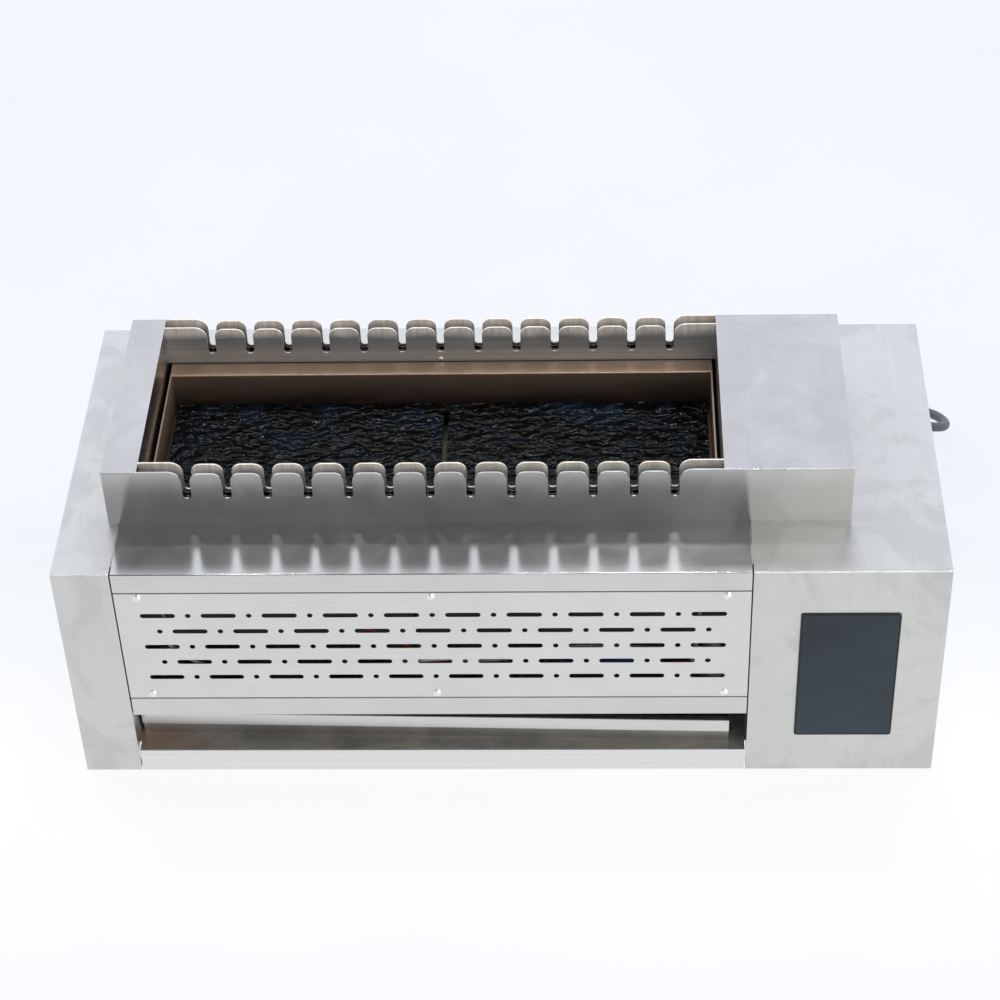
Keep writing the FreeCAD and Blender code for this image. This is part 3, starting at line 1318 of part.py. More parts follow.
def controls():
    glass = block("touch_slab", ("touch_left", "touch_left + glass_panel_width"),
                  ("0 - glass_panel_metal", "0"), ("touch_base", "touch_base + glass_panel_height"))
    doc.recompute()
    corners = straight_edges(glass.Shape, "y")
    subpart(rounded("touch_glass", glass, [(number("glass_panel_corner"), corners)]), "touch_glass")
    inner = "card_margin"
    behind = ("seat_gap", "seat_gap + card_metal")
    board = fused("touch_board", [
        block("touch_card", ("touch_left + " + inner, "touch_left + glass_panel_width - " + inner),
              behind, ("touch_base + " + inner, "touch_base + glass_panel_height - " + inner)),
    ] + [
        block(label, ("touch_left + %s" % left, "touch_left + %s" % right),
              (behind[1] + " - seat_gap", behind[1] + " + %s" % thick),
              ("touch_base + %s" % low, "touch_base + %s" % high))
        for label, left, right, low, high, thick in TOUCH_BOARD_PARTS
    ])
    subpart(board, "touch_board")
    card = fused("control_board", [
        block("control_card", ("board_left", "board_left + board_width"),
              ("board_front", "board_front + board_depth"),
              ("board_level", "board_level + card_metal")),
    ] + [
        block(label, ("board_left + %s" % left, "board_left + %s" % right),
              ("board_front + %s" % front, "board_front + %s" % back),
              ("board_level + card_metal - seat_gap", "board_level + %s" % high))
        for label, left, right, front, back, high in CONTROL_BOARD_PARTS
    ])
    subpart(card, "control_board")
    spacer = doc.addObject("Part::Cylinder", "spacer")
    bind(spacer, {"Radius": "spacer_radius", "Height": "board_level - floor_top"})
    spots = [(x, y, "floor_top")
             for x in ("board_left + spacer_inset", "board_left + board_width - spacer_inset")
             for y in ("board_front + spacer_inset", "board_front + board_depth - spacer_inset")]
    copies("board_standoffs", spacer, spots)


# Cord and leads


def arc_through(start, heading, end):
    """The arc that leaves start along heading and goes to end."""
    chord = end - start
    along = chord / chord.Length
    aside = heading - along * heading.dot(along)
    if aside.Length < 1e-7:
        return Part.LineSegment(start, end).toShape()
    swing = math.acos(max(-1.0, min(1.0, heading.dot(along) / heading.Length)))
    bulge = chord.Length / 2 * math.tan(swing / 2)
    return Part.Arc(start, (start + end) / 2 + aside / aside.Length * bulge, end).toShape()


def softened(points, share=0.45):
    """Straight runs joined by tangent arcs, each as large as its two runs allow, and the radii."""
    edges = []
    radii = []
    last = points[0]
    for before, corner, after in zip(points, points[1:], points[2:]):
        back = before - corner
        ahead = after - corner
        reach = share * min(back.Length, ahead.Length)
        half_turn = (math.pi - back.getAngle(ahead)) / 2
        start = corner + back / back.Length * reach
        end = corner + ahead / ahead.Length * reach
        edges.append(Part.LineSegment(last, start).toShape())
        edges.append(arc_through(start, back * (-1 / back.Length), end))
        radii.append(reach / math.tan(half_turn))
        last = end
    edges.append(Part.LineSegment(last, points[-1]).toShape())
    return edges, radii


def lead(label, routes, radius):
    """Flexible tubes along routes chosen by hand, as one sub-part."""
    tubes = []
    for points in routes:
        edges, radii = softened(points)
        body = tube(edges, radius)
        length = sum(edge.Length for edge in edges)
        print("%s: %.0f mm long, radii %s, volume %.4f of its section times its length" % (
            label, length, ", ".join("%.0f" % value for value in radii),
            body.Volume / (math.pi * radius * radius * length)))
        tubes.append(body)
    solid_feature(label, tubes[0] if len(tubes) == 1 else Part.makeCompound(tubes))


# The cord's way from its strain relief to the coil, in millimetres: right of the gland, behind
# the rear face and above the ground. It swings out past the rear right corner and comes down.
CORD_ROUTE = [
    (0, 35, 118), (0, 62, 118), (11, 102, 110), (50, 122, 102), (92, 104, 92), (124, 66, 78),
    (170, 60, 66), (196, 93, 40), (187, 138, 20), (152, 166, 6.5), (106, 174, 4.75),
    (60, 164, 4.75), (12, 164, 4.75),
]
COIL_INNER = 45.0
COIL_PITCH = 10.0
COIL_TURNS_EACH_WAY = 1.5
COIL_TAIL = 38.0


def cord_points():
    gland_x = number("gland_place")
    rear = number("body_depth")
    return [Vector(gland_x + x, rear + y, z) for x, y, z in CORD_ROUTE]


def coil_state(turn):
    """Radius, height and their rates a turn, a number of turns into the coil."""
    way = COIL_TURNS_EACH_WAY
    if turn < way + 0.25:
        radius = COIL_INNER + COIL_PITCH * (way - turn)
        rate = -COIL_PITCH
    else:
        radius = COIL_INNER + COIL_PITCH * (turn - way - 0.5)
        rate = COIL_PITCH
    if turn in (0, way + 0.25, 2 * way + 0.5):
        rate = 0.0
    climb = min(1.0, max(0.0, (turn - way) * 2))
    height = COIL_PITCH * climb * climb * (3 - 2 * climb)
    height_rate = COIL_PITCH * 12 * climb * (1 - climb)
    return radius, height, rate, height_rate


def coil_path():
    """Quarter turns of the coil as pairs of arcs, with straight ends."""
    start = cord_points()[-1]
    diameter = number("2 * cord_radius")
    entry = start + Vector(-diameter, 0, 0)
    radius = coil_state(0)[0]
    middle = entry - Vector(0, radius, 0)
    quarters = int(round((2 * COIL_TURNS_EACH_WAY + 0.5) * 4))
    edges = [Part.LineSegment(start, entry).toShape()]
    points = []
    for step in range(quarters + 1):
        radius, height, rate, height_rate = coil_state(step / 4)
        angle = math.pi / 2 + step * math.pi / 2
        out = Vector(math.cos(angle), math.sin(angle), 0)
        round_way = Vector(-math.sin(angle), math.cos(angle), 0)
        heading = out * (rate / (2 * math.pi)) + round_way * radius
        heading = heading + Vector(0, 0, height_rate / (2 * math.pi))
        points.append((middle + out * radius + Vector(0, 0, height), heading / heading.Length))
    for (p, s), (q, t) in zip(points, points[1:]):
        across = q - p
        both = s + t
        spread = 2 * (1 - s.dot(t))
        reach = (math.sqrt(across.dot(both) ** 2 + spread * across.dot(across))
                 - across.dot(both)) / spread
        first = p + s * reach
        second = q - t * reach
        joint = (first + second) / 2
        edges.append(arc_through(p, s, joint))
        edges.append(arc_through(joint, second - first, q))
    last, heading = points[-1]
    edges.append(Part.LineSegment(last, last + heading * COIL_TAIL).toShape())
    return edges, last + heading * COIL_TAIL


def least_gap(edges, radius):
    """The least clear distance between stretches of a tube that aren't neighbours."""
    points = []
    run = 0.0
    for edge in edges:
        count = max(2, int(edge.Length / 2))
        first, last = edge.ParameterRange
        for step in range(count):
            points.append((run + edge.Length * step / count,
                           edge.valueAt(first + (last - first) * step / count)))
        run += edge.Length
    apart = 6 * radius
    return min((p - q).Length for i, (a, p) in enumerate(points)
               for b, q in points[i + 1:] if b - a > apart) - 2 * radius


def power_supply():
    radius = number("cord_radius")
    lead("power_cord", [cord_points()], radius)
    edges, end = coil_path()
    coil = tube(edges, radius)
    print("cord_coil: %.0f mm long, least gap %.2f mm, valid %s" % (
        sum(edge.Length for edge in edges), least_gap(edges, radius), coil.isValid()))
    solid_feature("cord_coil", coil)
    gland()
    plug(end)


def gland():
    """A cable gland through the rear wall with a tapered strain relief."""
    x = "gland_place"
    wall = "body_depth"
    body = fused("gland_body", [
        rod("gland_nut", "y", (x, wall + " - sheet_metal - gland_nut_length", "gland_height"),
            "gland_nut_length", "gland_radius"),
        rod("gland_neck", "y", (x, wall + " - 2 * sheet_metal", "gland_height"),
            "3 * sheet_metal", "gland_radius - gland_step - seat_gap"),
        rod("gland_head", "y", (x, wall, "gland_height"), "gland_length", "gland_radius"),
    ])
    cone = doc.addObject("Part::Cone", "relief_cone")
    cone.Placement = Placement(Vector(), TURNS["y"])
    bind(cone, {
        "Placement.Base.x": x,
        "Placement.Base.y": wall + " + gland_length",
        "Placement.Base.z": "gland_height",
        "Height": "relief_length",
        "Radius1": "gland_radius - gland_step",
        "Radius2": "cord_radius + relief_wall",
    })
    subpart(fused("cable_gland", [body, cone]), "cable_gland")


# Each pin's middle, across and up from the plug's own, and its turn in degrees.
PLUG_PINS = [(-7.9, 3.5, 60), (7.9, 3.5, -60), (0, -6.5, 0)]


def plug(end):
    """A moulded plug with three flat pins, on its side on the ground, its cable end at end."""
    half = number("plug_height") / 2
    wide = number("plug_width") / 2
    neck = number("plug_neck")
    deep = number("plug_depth")
    along = Vector(1, 0, 0)
    body = Part.makeBox(deep, 2 * wide, 2 * half, end + Vector(neck, -wide, -half))
    corners = [edge for edge in body.Edges if abs(edge.tangentAt(0).x) > 0.99]
    body = body.makeFillet(number("plug_rounding"), corners)
    cone = Part.makeCone(number("cord_radius + relief_wall"), number("2 * cord_radius"), neck + 1,
                         end, along)
    solid_feature("mains_plug", body.fuse(cone).removeSplitter())
    face = end + Vector(neck + deep, 0, 0)
    pin_x, pin_y, pin_z = (number("pin_length"), number("pin_width"), number("pin_metal"))
    pins = []
    for dy, dz, turn in PLUG_PINS:
        pin = Part.makeBox(pin_x, pin_z, pin_y, Vector(0, -pin_z / 2, -pin_y / 2))
        pin.rotate(Vector(), along, turn)
        pin.translate(face + Vector(0, dy, dz))
        pins.append(pin)
    solid_feature("plug_pins", Part.makeCompound(pins))


# The leads' ways from the elements' terminals down behind the perforated panel: share of the
# centre's width from its left edge, distance behind the front face and height above the rail.
RED_WAY = [
    (0.439, 38, 108.3), (0.384, 16, 98.3), (0.373, 7.5, 84.3), (0.446, 6.5, 63.3),
    (0.501, 12, 31.3), (0.600, 22, 13.3), (0.746, 30, 8.3),
]
BLUE_WAY = [
    (0.530, 38, 108.3), (0.486, 18, 97.3), (0.459, 11.5, 77.3), (0.464, 11, 57.3),
    (0.527, 18, 27.3), (0.636, 29, 11.3), (0.764, 37, 8.3),
]
LEFT_WHITE_WAY = [
    (0.088, 38, 109.3), (0.066, 14, 101.3), (0.074, 7.5, 81.3), (0.070, 7, 62.3),
    (0.110, 10, 33.3), (0.234, 12, 17.3), (0.362, 10, 23.3), (0.501, 5.5, 44.3),
    (0.607, 12, 33.3), (0.702, 36, 28.3), (0.819, 48, 15.3),
]
RIGHT_WHITE_WAY = [
    (0.906, 38, 109.3), (0.921, 14, 100.3), (0.923, 7.5, 81.3), (0.919, 7, 63.3),
    (0.906, 12, 35.3),
]


def lead_route(terminal, way, lane):
    """A lead's corners from its terminal, along its way and through the partition in its lane."""
    left = number("centre_left")
    width = number("centre_right - centre_left")
    rail = number("rail_top")
    wall = number("partition_right")
    depth = number("lead_way_front + lead_pitch / 2 + lead_pitch * %d" % lane)
    end_x = number("board_left + board_width - 18 - 1.5 * lead_pitch * %d" % lane)
    end_y = number("block_face")
    end_z = number("board_level + 0.6 * block_height")
    stud_y = number("inner_front - element_end - terminal_length")
    stud_z = number("element_level")
    points = [(terminal, stud_y, stud_z), (terminal, stud_y - 8, stud_z)]
    points += [(left + share * width, y, rail + up) for share, y, up in way]
    points += [
        (wall - 40, depth + 1, rail + 11), (wall, depth, rail + 9), (wall + 36, depth + 6, rail + 6),
        (end_x - 6, depth + 40, rail - 3), (end_x, end_y - 56, end_z + 31),
        (end_x, end_y - 20, end_z), (end_x, end_y, end_z),
    ]
    return [Vector(*point) for point in points]


def leads():
    """Silicone leads from the elements' terminals down behind the perforations to the board."""
    terminals = [number(x) for x in element_ends()]
    radius = number("wire_radius")
    lead("red_lead", [lead_route(terminals[1], RED_WAY, 1)], radius)
    lead("blue_lead", [lead_route(terminals[2], BLUE_WAY, 2)], radius)
    lead("white_leads", [lead_route(terminals[0], LEFT_WHITE_WAY, 3),
                         lead_route(terminals[3], RIGHT_WHITE_WAY, 0)], radius)


# The drip tray


def drip_tray():
    """An open tray with a folded front lip, standing loose and a little askew on its floor."""
    lip_top = "tray_height"
    outside = block("tray_outside", ("0", "tray_width"), ("0", "tray_depth"), ("0", "tray_height"))
    inside = block("tray_inside", ("tray_metal", "tray_width - tray_metal"),
                   ("tray_metal", "tray_depth - tray_metal"), ("tray_metal", "tray_height + 1"))
    bowl = cut("tray_bowl", outside, [inside])
    fold = fused("tray_sheets", [
        bowl,
        block("tray_lip_top", ("0", "tray_width"), ("0 - tray_lip_reach", "tray_metal"),
              (lip_top + " - tray_metal", lip_top)),
        block("tray_lip_face", ("0", "tray_width"),
              ("0 - tray_lip_reach", "tray_metal - tray_lip_reach"),
              (lip_top + " - tray_lip_drop", lip_top)),
    ])
    doc.recompute()
    edges = straight_edges(fold.Shape, "x", y=[-number("tray_lip_reach")], z=[number(lip_top)])
    tray = rounded("drip_tray", fold, [(0.9 * number("tray_metal"), edges)])
    tray.Placement = Placement(Vector(), Rotation(Vector(0, 0, 1), -number("tray_turn")))
    bind(tray, {
        "Placement.Base.x": "tray_left",
        "Placement.Base.y": "tray_front",
        "Placement.Base.z": "floor_top",
    })
    subpart(tray, "drip_tray")


fill_sheets()
covers()
base_pan()
front()
perforated_panel()
rear()
fasteners()
foot_pads()
inner_walls()
plates()
raised_cover("left_raised_cap", ("frame_left", "well_left"), "right")
raised_cover("drive_housing_cover", ("well_right", "frame_right"), "left")
well()
glass_panels()
heater()
shafts()
gears()
bearings()
chain("front_chain", "front_channel")
chain("rear_chain", "back_channel")
motor()
controls()
power_supply()
leads()
drip_tray()

doc.recompute()
for thing in doc.Objects:
    if "Invalid" in thing.State or "Error" in thing.State:
        raise RuntimeError("%s failed: %s" % (thing.Label, thing.State))
for thing in SUBPARTS:
    if thing.Shape.isNull() or not thing.Shape.isValid():
        raise RuntimeError("%s has no valid shape" % thing.Label)
os.makedirs("parts", exist_ok=True)
for thing in SUBPARTS:
    thing.Shape.exportStep("parts/%s.step" % thing.Label)
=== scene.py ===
import math

import bpy
from mathutils import Matrix, Vector

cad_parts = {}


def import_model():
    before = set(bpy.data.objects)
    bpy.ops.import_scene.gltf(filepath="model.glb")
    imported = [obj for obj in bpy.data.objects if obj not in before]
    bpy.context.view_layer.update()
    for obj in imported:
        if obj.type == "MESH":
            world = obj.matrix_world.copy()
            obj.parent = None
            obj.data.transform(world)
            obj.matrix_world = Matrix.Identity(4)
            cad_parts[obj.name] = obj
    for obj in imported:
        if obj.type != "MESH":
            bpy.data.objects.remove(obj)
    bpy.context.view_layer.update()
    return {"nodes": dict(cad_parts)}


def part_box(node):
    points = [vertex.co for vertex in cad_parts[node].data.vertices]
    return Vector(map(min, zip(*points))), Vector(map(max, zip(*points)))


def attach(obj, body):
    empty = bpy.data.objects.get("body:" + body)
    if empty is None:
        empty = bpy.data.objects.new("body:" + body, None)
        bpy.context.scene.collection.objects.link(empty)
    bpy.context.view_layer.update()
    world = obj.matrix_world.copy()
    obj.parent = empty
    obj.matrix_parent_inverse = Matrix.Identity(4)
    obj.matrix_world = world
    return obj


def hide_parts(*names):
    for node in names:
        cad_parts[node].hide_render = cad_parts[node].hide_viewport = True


# Looks of the skewer grill: brushed and heat-tinted steel, rippled black glass, a touch panel,
# chains, leads and the mains cord. The frame is the part's own, in metres, with its origin on the
# ground under the middle of the box.

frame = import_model()
NODES = frame["nodes"]

MM = 0.001
BODY_WIDTH = 768.0
BODY_DEPTH = 342.0
FRAME_TOP = 303.3
GLASS_PANELS = ("left_glass_panel", "right_glass_panel")


def place(x, y, z):
    """A point given in millimetres from the box's front left corner."""
    return Vector(((x - BODY_WIDTH / 2) * MM, (y - BODY_DEPTH / 2) * MM, z * MM))


def srgb(red, green, blue):
    """A linear colour from screen values of 0 to 255."""
    def linear(value):
        value = value / 255
        return value / 12.92 if value <= 0.04045 else ((value + 0.055) / 1.055) ** 2.4
    return (linear(red), linear(green), linear(blue), 1.0)


# Camera

CAMERA_PLACE = (472.75, -1611.43, 1753.31)
CAMERA_YAW = -0.0526
CAMERA_DOWN = 0.7235
CAMERA_ROLL = -0.0405
CAMERA_LENS = 93.77
SENSOR_WIDTH = 36
FARTHEST_SEEN = 50


def add_camera():
    look = Vector((math.sin(CAMERA_YAW) * math.cos(CAMERA_DOWN),
                   math.cos(CAMERA_YAW) * math.cos(CAMERA_DOWN), -math.sin(CAMERA_DOWN)))
    level = Vector((math.cos(CAMERA_YAW), -math.sin(CAMERA_YAW), 0))
    above = level.cross(look)
    right = level * math.cos(CAMERA_ROLL) + above * math.sin(CAMERA_ROLL)
    up = above * math.cos(CAMERA_ROLL) - level * math.sin(CAMERA_ROLL)
    data = bpy.data.cameras.new("camera")
    data.lens = CAMERA_LENS
    data.sensor_width = SENSOR_WIDTH
    data.clip_end = FARTHEST_SEEN
    camera = bpy.data.objects.new("camera", data)
    turn = Matrix((right, up, -look)).transposed().to_4x4()
    camera.matrix_world = Matrix.Translation(place(*CAMERA_PLACE)) @ turn
    bpy.context.scene.collection.objects.link(camera)
    bpy.context.scene.camera = camera


# Shader building

# The part of a noise's values over which a look changes: its middle, or most of it.
MIDDLE = (0.35, 0.65)
MOST = (0.3, 0.7)


class Nodes:
    """A node tree with short calls for the nodes that repeat."""

    def __init__(self, tree):
        self.tree = tree

    def node(self, kind, **settings):
        made = self.tree.nodes.new(kind)
        for key, value in settings.items():
            setattr(made, key, value)
        return made

    def link(self, source, target):
        self.tree.links.new(source, target)

    def give(self, target, value):
        """Links a socket to an input, or sets the input to a plain value."""
        if hasattr(value, "links"):
            self.link(value, target)
        else:
            target.default_value = value

    def spread(self, value, low, high, to_low=0.0, to_high=1.0, way="LINEAR"):
        """Turns low to high into to_low to to_high, and holds the ends beyond them."""
        made = self.node("ShaderNodeMapRange", clamp=True, interpolation_type=way)
        for key, number in (("From Min", low), ("From Max", high),
                            ("To Min", to_low), ("To Max", to_high)):
            made.inputs[key].default_value = number
        self.link(value, made.inputs["Value"])
        return made.outputs["Result"]

    def mix(self, share, one, other):
        """Mixes two colours; each of them, and the share, is a socket or a plain value."""
        made = self.node("ShaderNodeMix", data_type="RGBA")
        for index, value in ((0, share), (6, one), (7, other)):
            self.give(made.inputs[index], value)
        return made.outputs[2]

    def maths(self, how, *values):
        made = self.node("ShaderNodeMath", operation=how)
        for index, value in enumerate(values):
            self.give(made.inputs[index], value)
        return made.outputs["Value"]

    def split(self, vector):
        made = self.node("ShaderNodeSeparateXYZ")
        self.link(vector, made.inputs["Vector"])
        return made.outputs


class Shader(Nodes):
    """A new material, with calls for what its surface takes."""

    def __init__(self, name):
        self.material = bpy.data.materials.new(name)
        self.material.use_nodes = True
        super().__init__(self.material.node_tree)
        self.surface = self.tree.nodes["Principled BSDF"]
        self.where = self.node("ShaderNodeTexCoord").outputs["Object"]

    def set(self, **values):
        for key, value in values.items():
            self.surface.inputs[key.replace("_", " ")].default_value = value

    def noise(self, scale, stretch=(1, 1, 1), detail=3.0, rough=0.6, bend=0.0, shift=0.0):
        mapping = self.node("ShaderNodeMapping")
        mapping.inputs["Scale"].default_value = stretch
        mapping.inputs["Location"].default_value = (shift, shift * 1.7, shift * 0.6)
        self.link(self.where, mapping.inputs["Vector"])
        made = self.node("ShaderNodeTexNoise")
        for key, number in (("Scale", scale), ("Detail", detail), ("Roughness", rough),
                            ("Distortion", bend)):
            made.inputs[key].default_value = number
        self.link(mapping.outputs["Vector"], made.inputs["Vector"])
        return made.outputs["Fac"]

    def axis(self, letter):
        return self.split(self.where)[letter]

    def colour(self, socket):
        self.link(socket, self.surface.inputs["Base Color"])

    def roughness(self, socket):
        self.link(socket, self.surface.inputs["Roughness"])

    def metallic(self, socket):
        self.link(socket, self.surface.inputs["Metallic"])

    def bump(self, height, strength, distance):
        made = self.node("ShaderNodeBump")
        made.inputs["Strength"].default_value = strength
        made.inputs["Distance"].default_value = distance
        self.link(height, made.inputs["Height"])
        self.link(made.outputs["Normal"], self.surface.inputs["Normal"])

    def smear(self, across):
        """Sets the direction in which a brushed surface draws out what it reflects."""
        made = self.node("ShaderNodeCombineXYZ")
        for index, value in enumerate(across):
            made.inputs[index].default_value = value
        self.link(made.outputs["Vector"], self.surface.inputs["Tangent"])


# Finishes

# Noise stretch along a grain, and the direction across it on the faces that show it.
GRAINS = {
    "x": ((2.5, 520, 520), (0.02, 1, 1)),
    "y": ((520, 2.5, 2.5), (1, 0.02, 0.02)),
}
LONG_STREAKS = (3, 420, 420)
STREAK_CONTRAST = 0.035
BRIGHTER = 1.1
DARKER = 0.9

LEDGE = 0.263            # top of the well liner's walls
LEDGE_EDGE = 0.002       # light brown in full down to here: painted light along the ledges
LEDGE_FADE = 0.030       # and dark from here down: painted shade lower in the well
FRONT_DARK_REACH = 0.030       # darker from the front inner plate back to here
FRONT_DARK_FADE = 0.006
PLATE_FOOT_SHADOW = (0.0024, 0.0008)  # painted shadow along the foot of the rear inner plate, in front of it

TOP_TINT_AND_LIGHT_FROM = 0.014        # below the tabs' tops; pink tint with painted highlight from here up
TOP_TINT_AND_LIGHT_TO = 0.005

STRIP_BACK = (-0.1703, -0.1693)  # across the thickness of the base's front strip
BROWN_END = (-0.25, -0.34)       # towards the left end of the base's floor

GLASS_RIPPLE = 0.0095    # height of the ripples
BLUE_REFLECTION_FROM = 0.3          # share of the panel's depth; the painted blue reflection starts here

TOUCH_EDGE = 0.0016      # dark edge of the touch panel
TOUCH_EDGE_FADE = 0.0004


def shaded(tone, factor):
    return tuple(min(1.0, part * factor) for part in tone[:3]) + (1.0,)


def brushed_steel(name, grain, tone, rough=0.24, drawn=0.75, cloud=0.03, smudge=0.0):
    """Satin sheet steel: fine streaks along its grain, cloudy marks and wiped smudges."""
    shader = Shader(name)
    scale, across = GRAINS[grain]
    tone = srgb(*tone)
    streaks = shader.noise(1.0, scale, detail=5, rough=0.7)
    marks = shader.noise(22.0, detail=4, rough=0.6, bend=0.7)
    stains = shader.noise(5.0, detail=5, rough=0.65, bend=0.5, shift=3.0)
    wiped = shader.noise(11.0, (1, 1, 0.7), detail=7, rough=0.62, bend=1.6, shift=7.0)
    value = shader.spread(streaks, 0.25, 0.75, -STREAK_CONTRAST, STREAK_CONTRAST)
    for part in (shader.spread(marks, *MOST, -cloud, cloud),
                 shader.spread(stains, 0.35, 0.7, 0.02, -cloud),
                 shader.spread(wiped, 0.50, 0.62, 0.0, -smudge)):
        value = shader.maths("ADD", value, part)
    shader.colour(shader.mix(shader.spread(value, -0.1, 0.1), shaded(tone, DARKER),
                             shaded(tone, BRIGHTER)))
    shader.roughness(shader.spread(marks, *MOST, rough - 0.02, rough + 0.03))
    shader.set(Metallic=1.0, Anisotropic=drawn)
    shader.smear(across)
    shader.bump(streaks, strength=0.04, distance=0.0002)
    return shader.material


def heat_tinted_steel(name):
    """The well's liner: browned by the heater; painted light along its ledges and painted shade
    lower down; darker in front; painted shadow at the rear inner plate's foot.
    """
    shader = Shader(name)
    stains = shader.noise(9.0, (1, 1, 4), detail=5, rough=0.65, bend=0.8)
    streaks = shader.noise(1.0, (6, 200, 200), detail=3)
    height = shader.maths("ADD", shader.axis("Z"), shader.spread(stains, *MOST, -0.004, 0.004))
    # Painted light and shade: lighter along the top of the walls, darker lower down the well.
    light = shader.spread(height, LEDGE - LEDGE_FADE, LEDGE - LEDGE_EDGE)
    colour = shader.mix(light, srgb(76, 65, 57), srgb(166, 144, 124))
    colour = shader.mix(shader.spread(stains, *MIDDLE, 0.0, 0.3), colour, srgb(120, 96, 78))
    colour = shader.mix(shader.spread(streaks, *MOST, 0.0, 0.12), colour, srgb(60, 50, 44))
    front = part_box("front_inner_plate")[1].y + FRONT_DARK_REACH
    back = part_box("rear_inner_plate")[0].y
    # Darker close behind the front inner plate.
    front_darkening = shader.spread(shader.axis("Y"), front, front - FRONT_DARK_FADE)
    # Painted shadow along the foot of the rear inner plate.
    plate_foot_shadow = shader.spread(shader.axis("Y"), back - PLATE_FOOT_SHADOW[0], back - PLATE_FOOT_SHADOW[1])
    shader.colour(shader.mix(shader.maths("MAXIMUM", front_darkening, plate_foot_shadow), colour, srgb(22, 20, 19)))
    shader.roughness(shader.spread(stains, *MOST, 0.32, 0.45))
    shader.set(Metallic=0.8)
    shader.bump(streaks, strength=0.05, distance=0.0003)
    return shader.material


def notched_steel(name):
    """Notched plates: grey below; along the tops of the tabs sooty pink, rougher, and painted
    lighter as a highlight.
    """
    shader = Shader(name)
    streaks = shader.noise(1.0, LONG_STREAKS, detail=4)
    upright = shader.noise(1.0, (260, 260, 8), detail=3, shift=1.3)
    stains = shader.noise(30.0, detail=4, bend=0.5)
    height = shader.maths("ADD", shader.axis("Z"), shader.spread(stains, *MOST, -0.002, 0.002))
    top = FRAME_TOP * MM
    # Real pink tint on the tabs' tops, with a painted highlight: the warm colours are lighter
    # than the grey.
    top_tint_and_light = shader.spread(height, top - TOP_TINT_AND_LIGHT_FROM, top - TOP_TINT_AND_LIGHT_TO)
    grey = shader.mix(shader.spread(streaks, *MIDDLE), srgb(172, 172, 171), srgb(194, 194, 192))
    tint_and_highlight = shader.mix(shader.spread(upright, *MIDDLE), srgb(204, 194, 183), srgb(234, 226, 216))
    shader.colour(shader.mix(top_tint_and_light, grey, tint_and_highlight))
    shader.roughness(shader.maths("ADD", shader.spread(top_tint_and_light, 0, 1, 0.36, 0.55),
                                  shader.spread(stains, *MOST, -0.04, 0.06)))
    shader.metallic(shader.spread(top_tint_and_light, 0, 1, 0.75, 0.35))
    shader.bump(streaks, strength=0.06, distance=0.0003)
    return shader.material


def base_steel(name):
    """The base: bright on its front strip; the floor behind it stained, dull, and darker as
    painted shade of the recess under the tray.
    """
    shader = Shader(name)
    streaks = shader.noise(1.0, LONG_STREAKS, detail=4)
    stains = shader.noise(14.0, (1, 2.2, 1), detail=6, rough=0.7, bend=0.6)
    inside = shader.spread(shader.axis("Y"), *STRIP_BACK)
    bright = shader.mix(shader.spread(streaks, *MOST), srgb(218, 218, 216), srgb(228, 228, 226))
    # Painted shade: the floor behind the strip is darker, with real stains on it, and browner
    # towards the left end.
    stained_and_shaded = shader.mix(shader.spread(stains, *MIDDLE), srgb(108, 104, 98), srgb(144, 139, 132))
    brown = shader.maths("MULTIPLY", shader.spread(shader.axis("X"), *BROWN_END), 0.6)
    stained_and_shaded = shader.mix(brown, stained_and_shaded, srgb(150, 112, 82))
    shader.colour(shader.mix(inside, bright, stained_and_shaded))
    shader.roughness(shader.maths("ADD", shader.spread(inside, 0, 1, 0.24, 0.34),
                                  shader.spread(stains, *MOST, -0.03, 0.05)))
    shader.metallic(shader.spread(inside, 0, 1, 1.0, 0.35))
    shader.set(Anisotropic=0.6)
    shader.smear(GRAINS["x"][1])
    shader.bump(streaks, strength=0.04, distance=0.0002)
    return shader.material


def dull_metal(name, light, dark, rough, scale):
    """Metal with a fine even grain and no brushing."""
    shader = Shader(name)
    grains = shader.noise(scale, detail=4)
    shader.colour(shader.mix(shader.spread(grains, *MIDDLE), srgb(*dark), srgb(*light)))
    shader.roughness(shader.spread(grains, *MOST, rough - 0.06, rough + 0.08))
    shader.set(Metallic=1.0)
    shader.bump(grains, strength=0.08, distance=0.0004)
    return shader.material


def rippled_glass(name):
    """Opaque black glass with a cast, rippled top, and a faint painted blue reflection towards
    the back.
    """
    shader = Shader(name)
    waves = shader.noise(88.0, (1, 1.45, 1), detail=1.6, rough=0.45, bend=0.35)
    dips = shader.noise(190.0, (1, 1.3, 1), detail=1.0, shift=2.0)
    height = shader.maths("ADD", waves, shader.maths("MULTIPLY", dips, 0.22))
    patches = shader.noise(26.0, detail=3)
    low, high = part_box(GLASS_PANELS[0])
    rear = shader.spread(shader.axis("Y"), low.y + BLUE_REFLECTION_FROM * (high.y - low.y), high.y)
    # Painted reflection: blue patches in the base colour towards the back of each panel.
    blue = shader.maths("MULTIPLY", rear, shader.spread(patches, 0.48, 0.62))
    shader.colour(shader.mix(blue, srgb(2, 3, 4), srgb(10, 24, 36)))
    shader.roughness(shader.spread(patches, *MOST, 0.03, 0.06))
    shader.set(IOR=1.5, Specular_IOR_Level=0.16)
    shader.bump(height, strength=1.0, distance=GLASS_RIPPLE)
    return shader.material


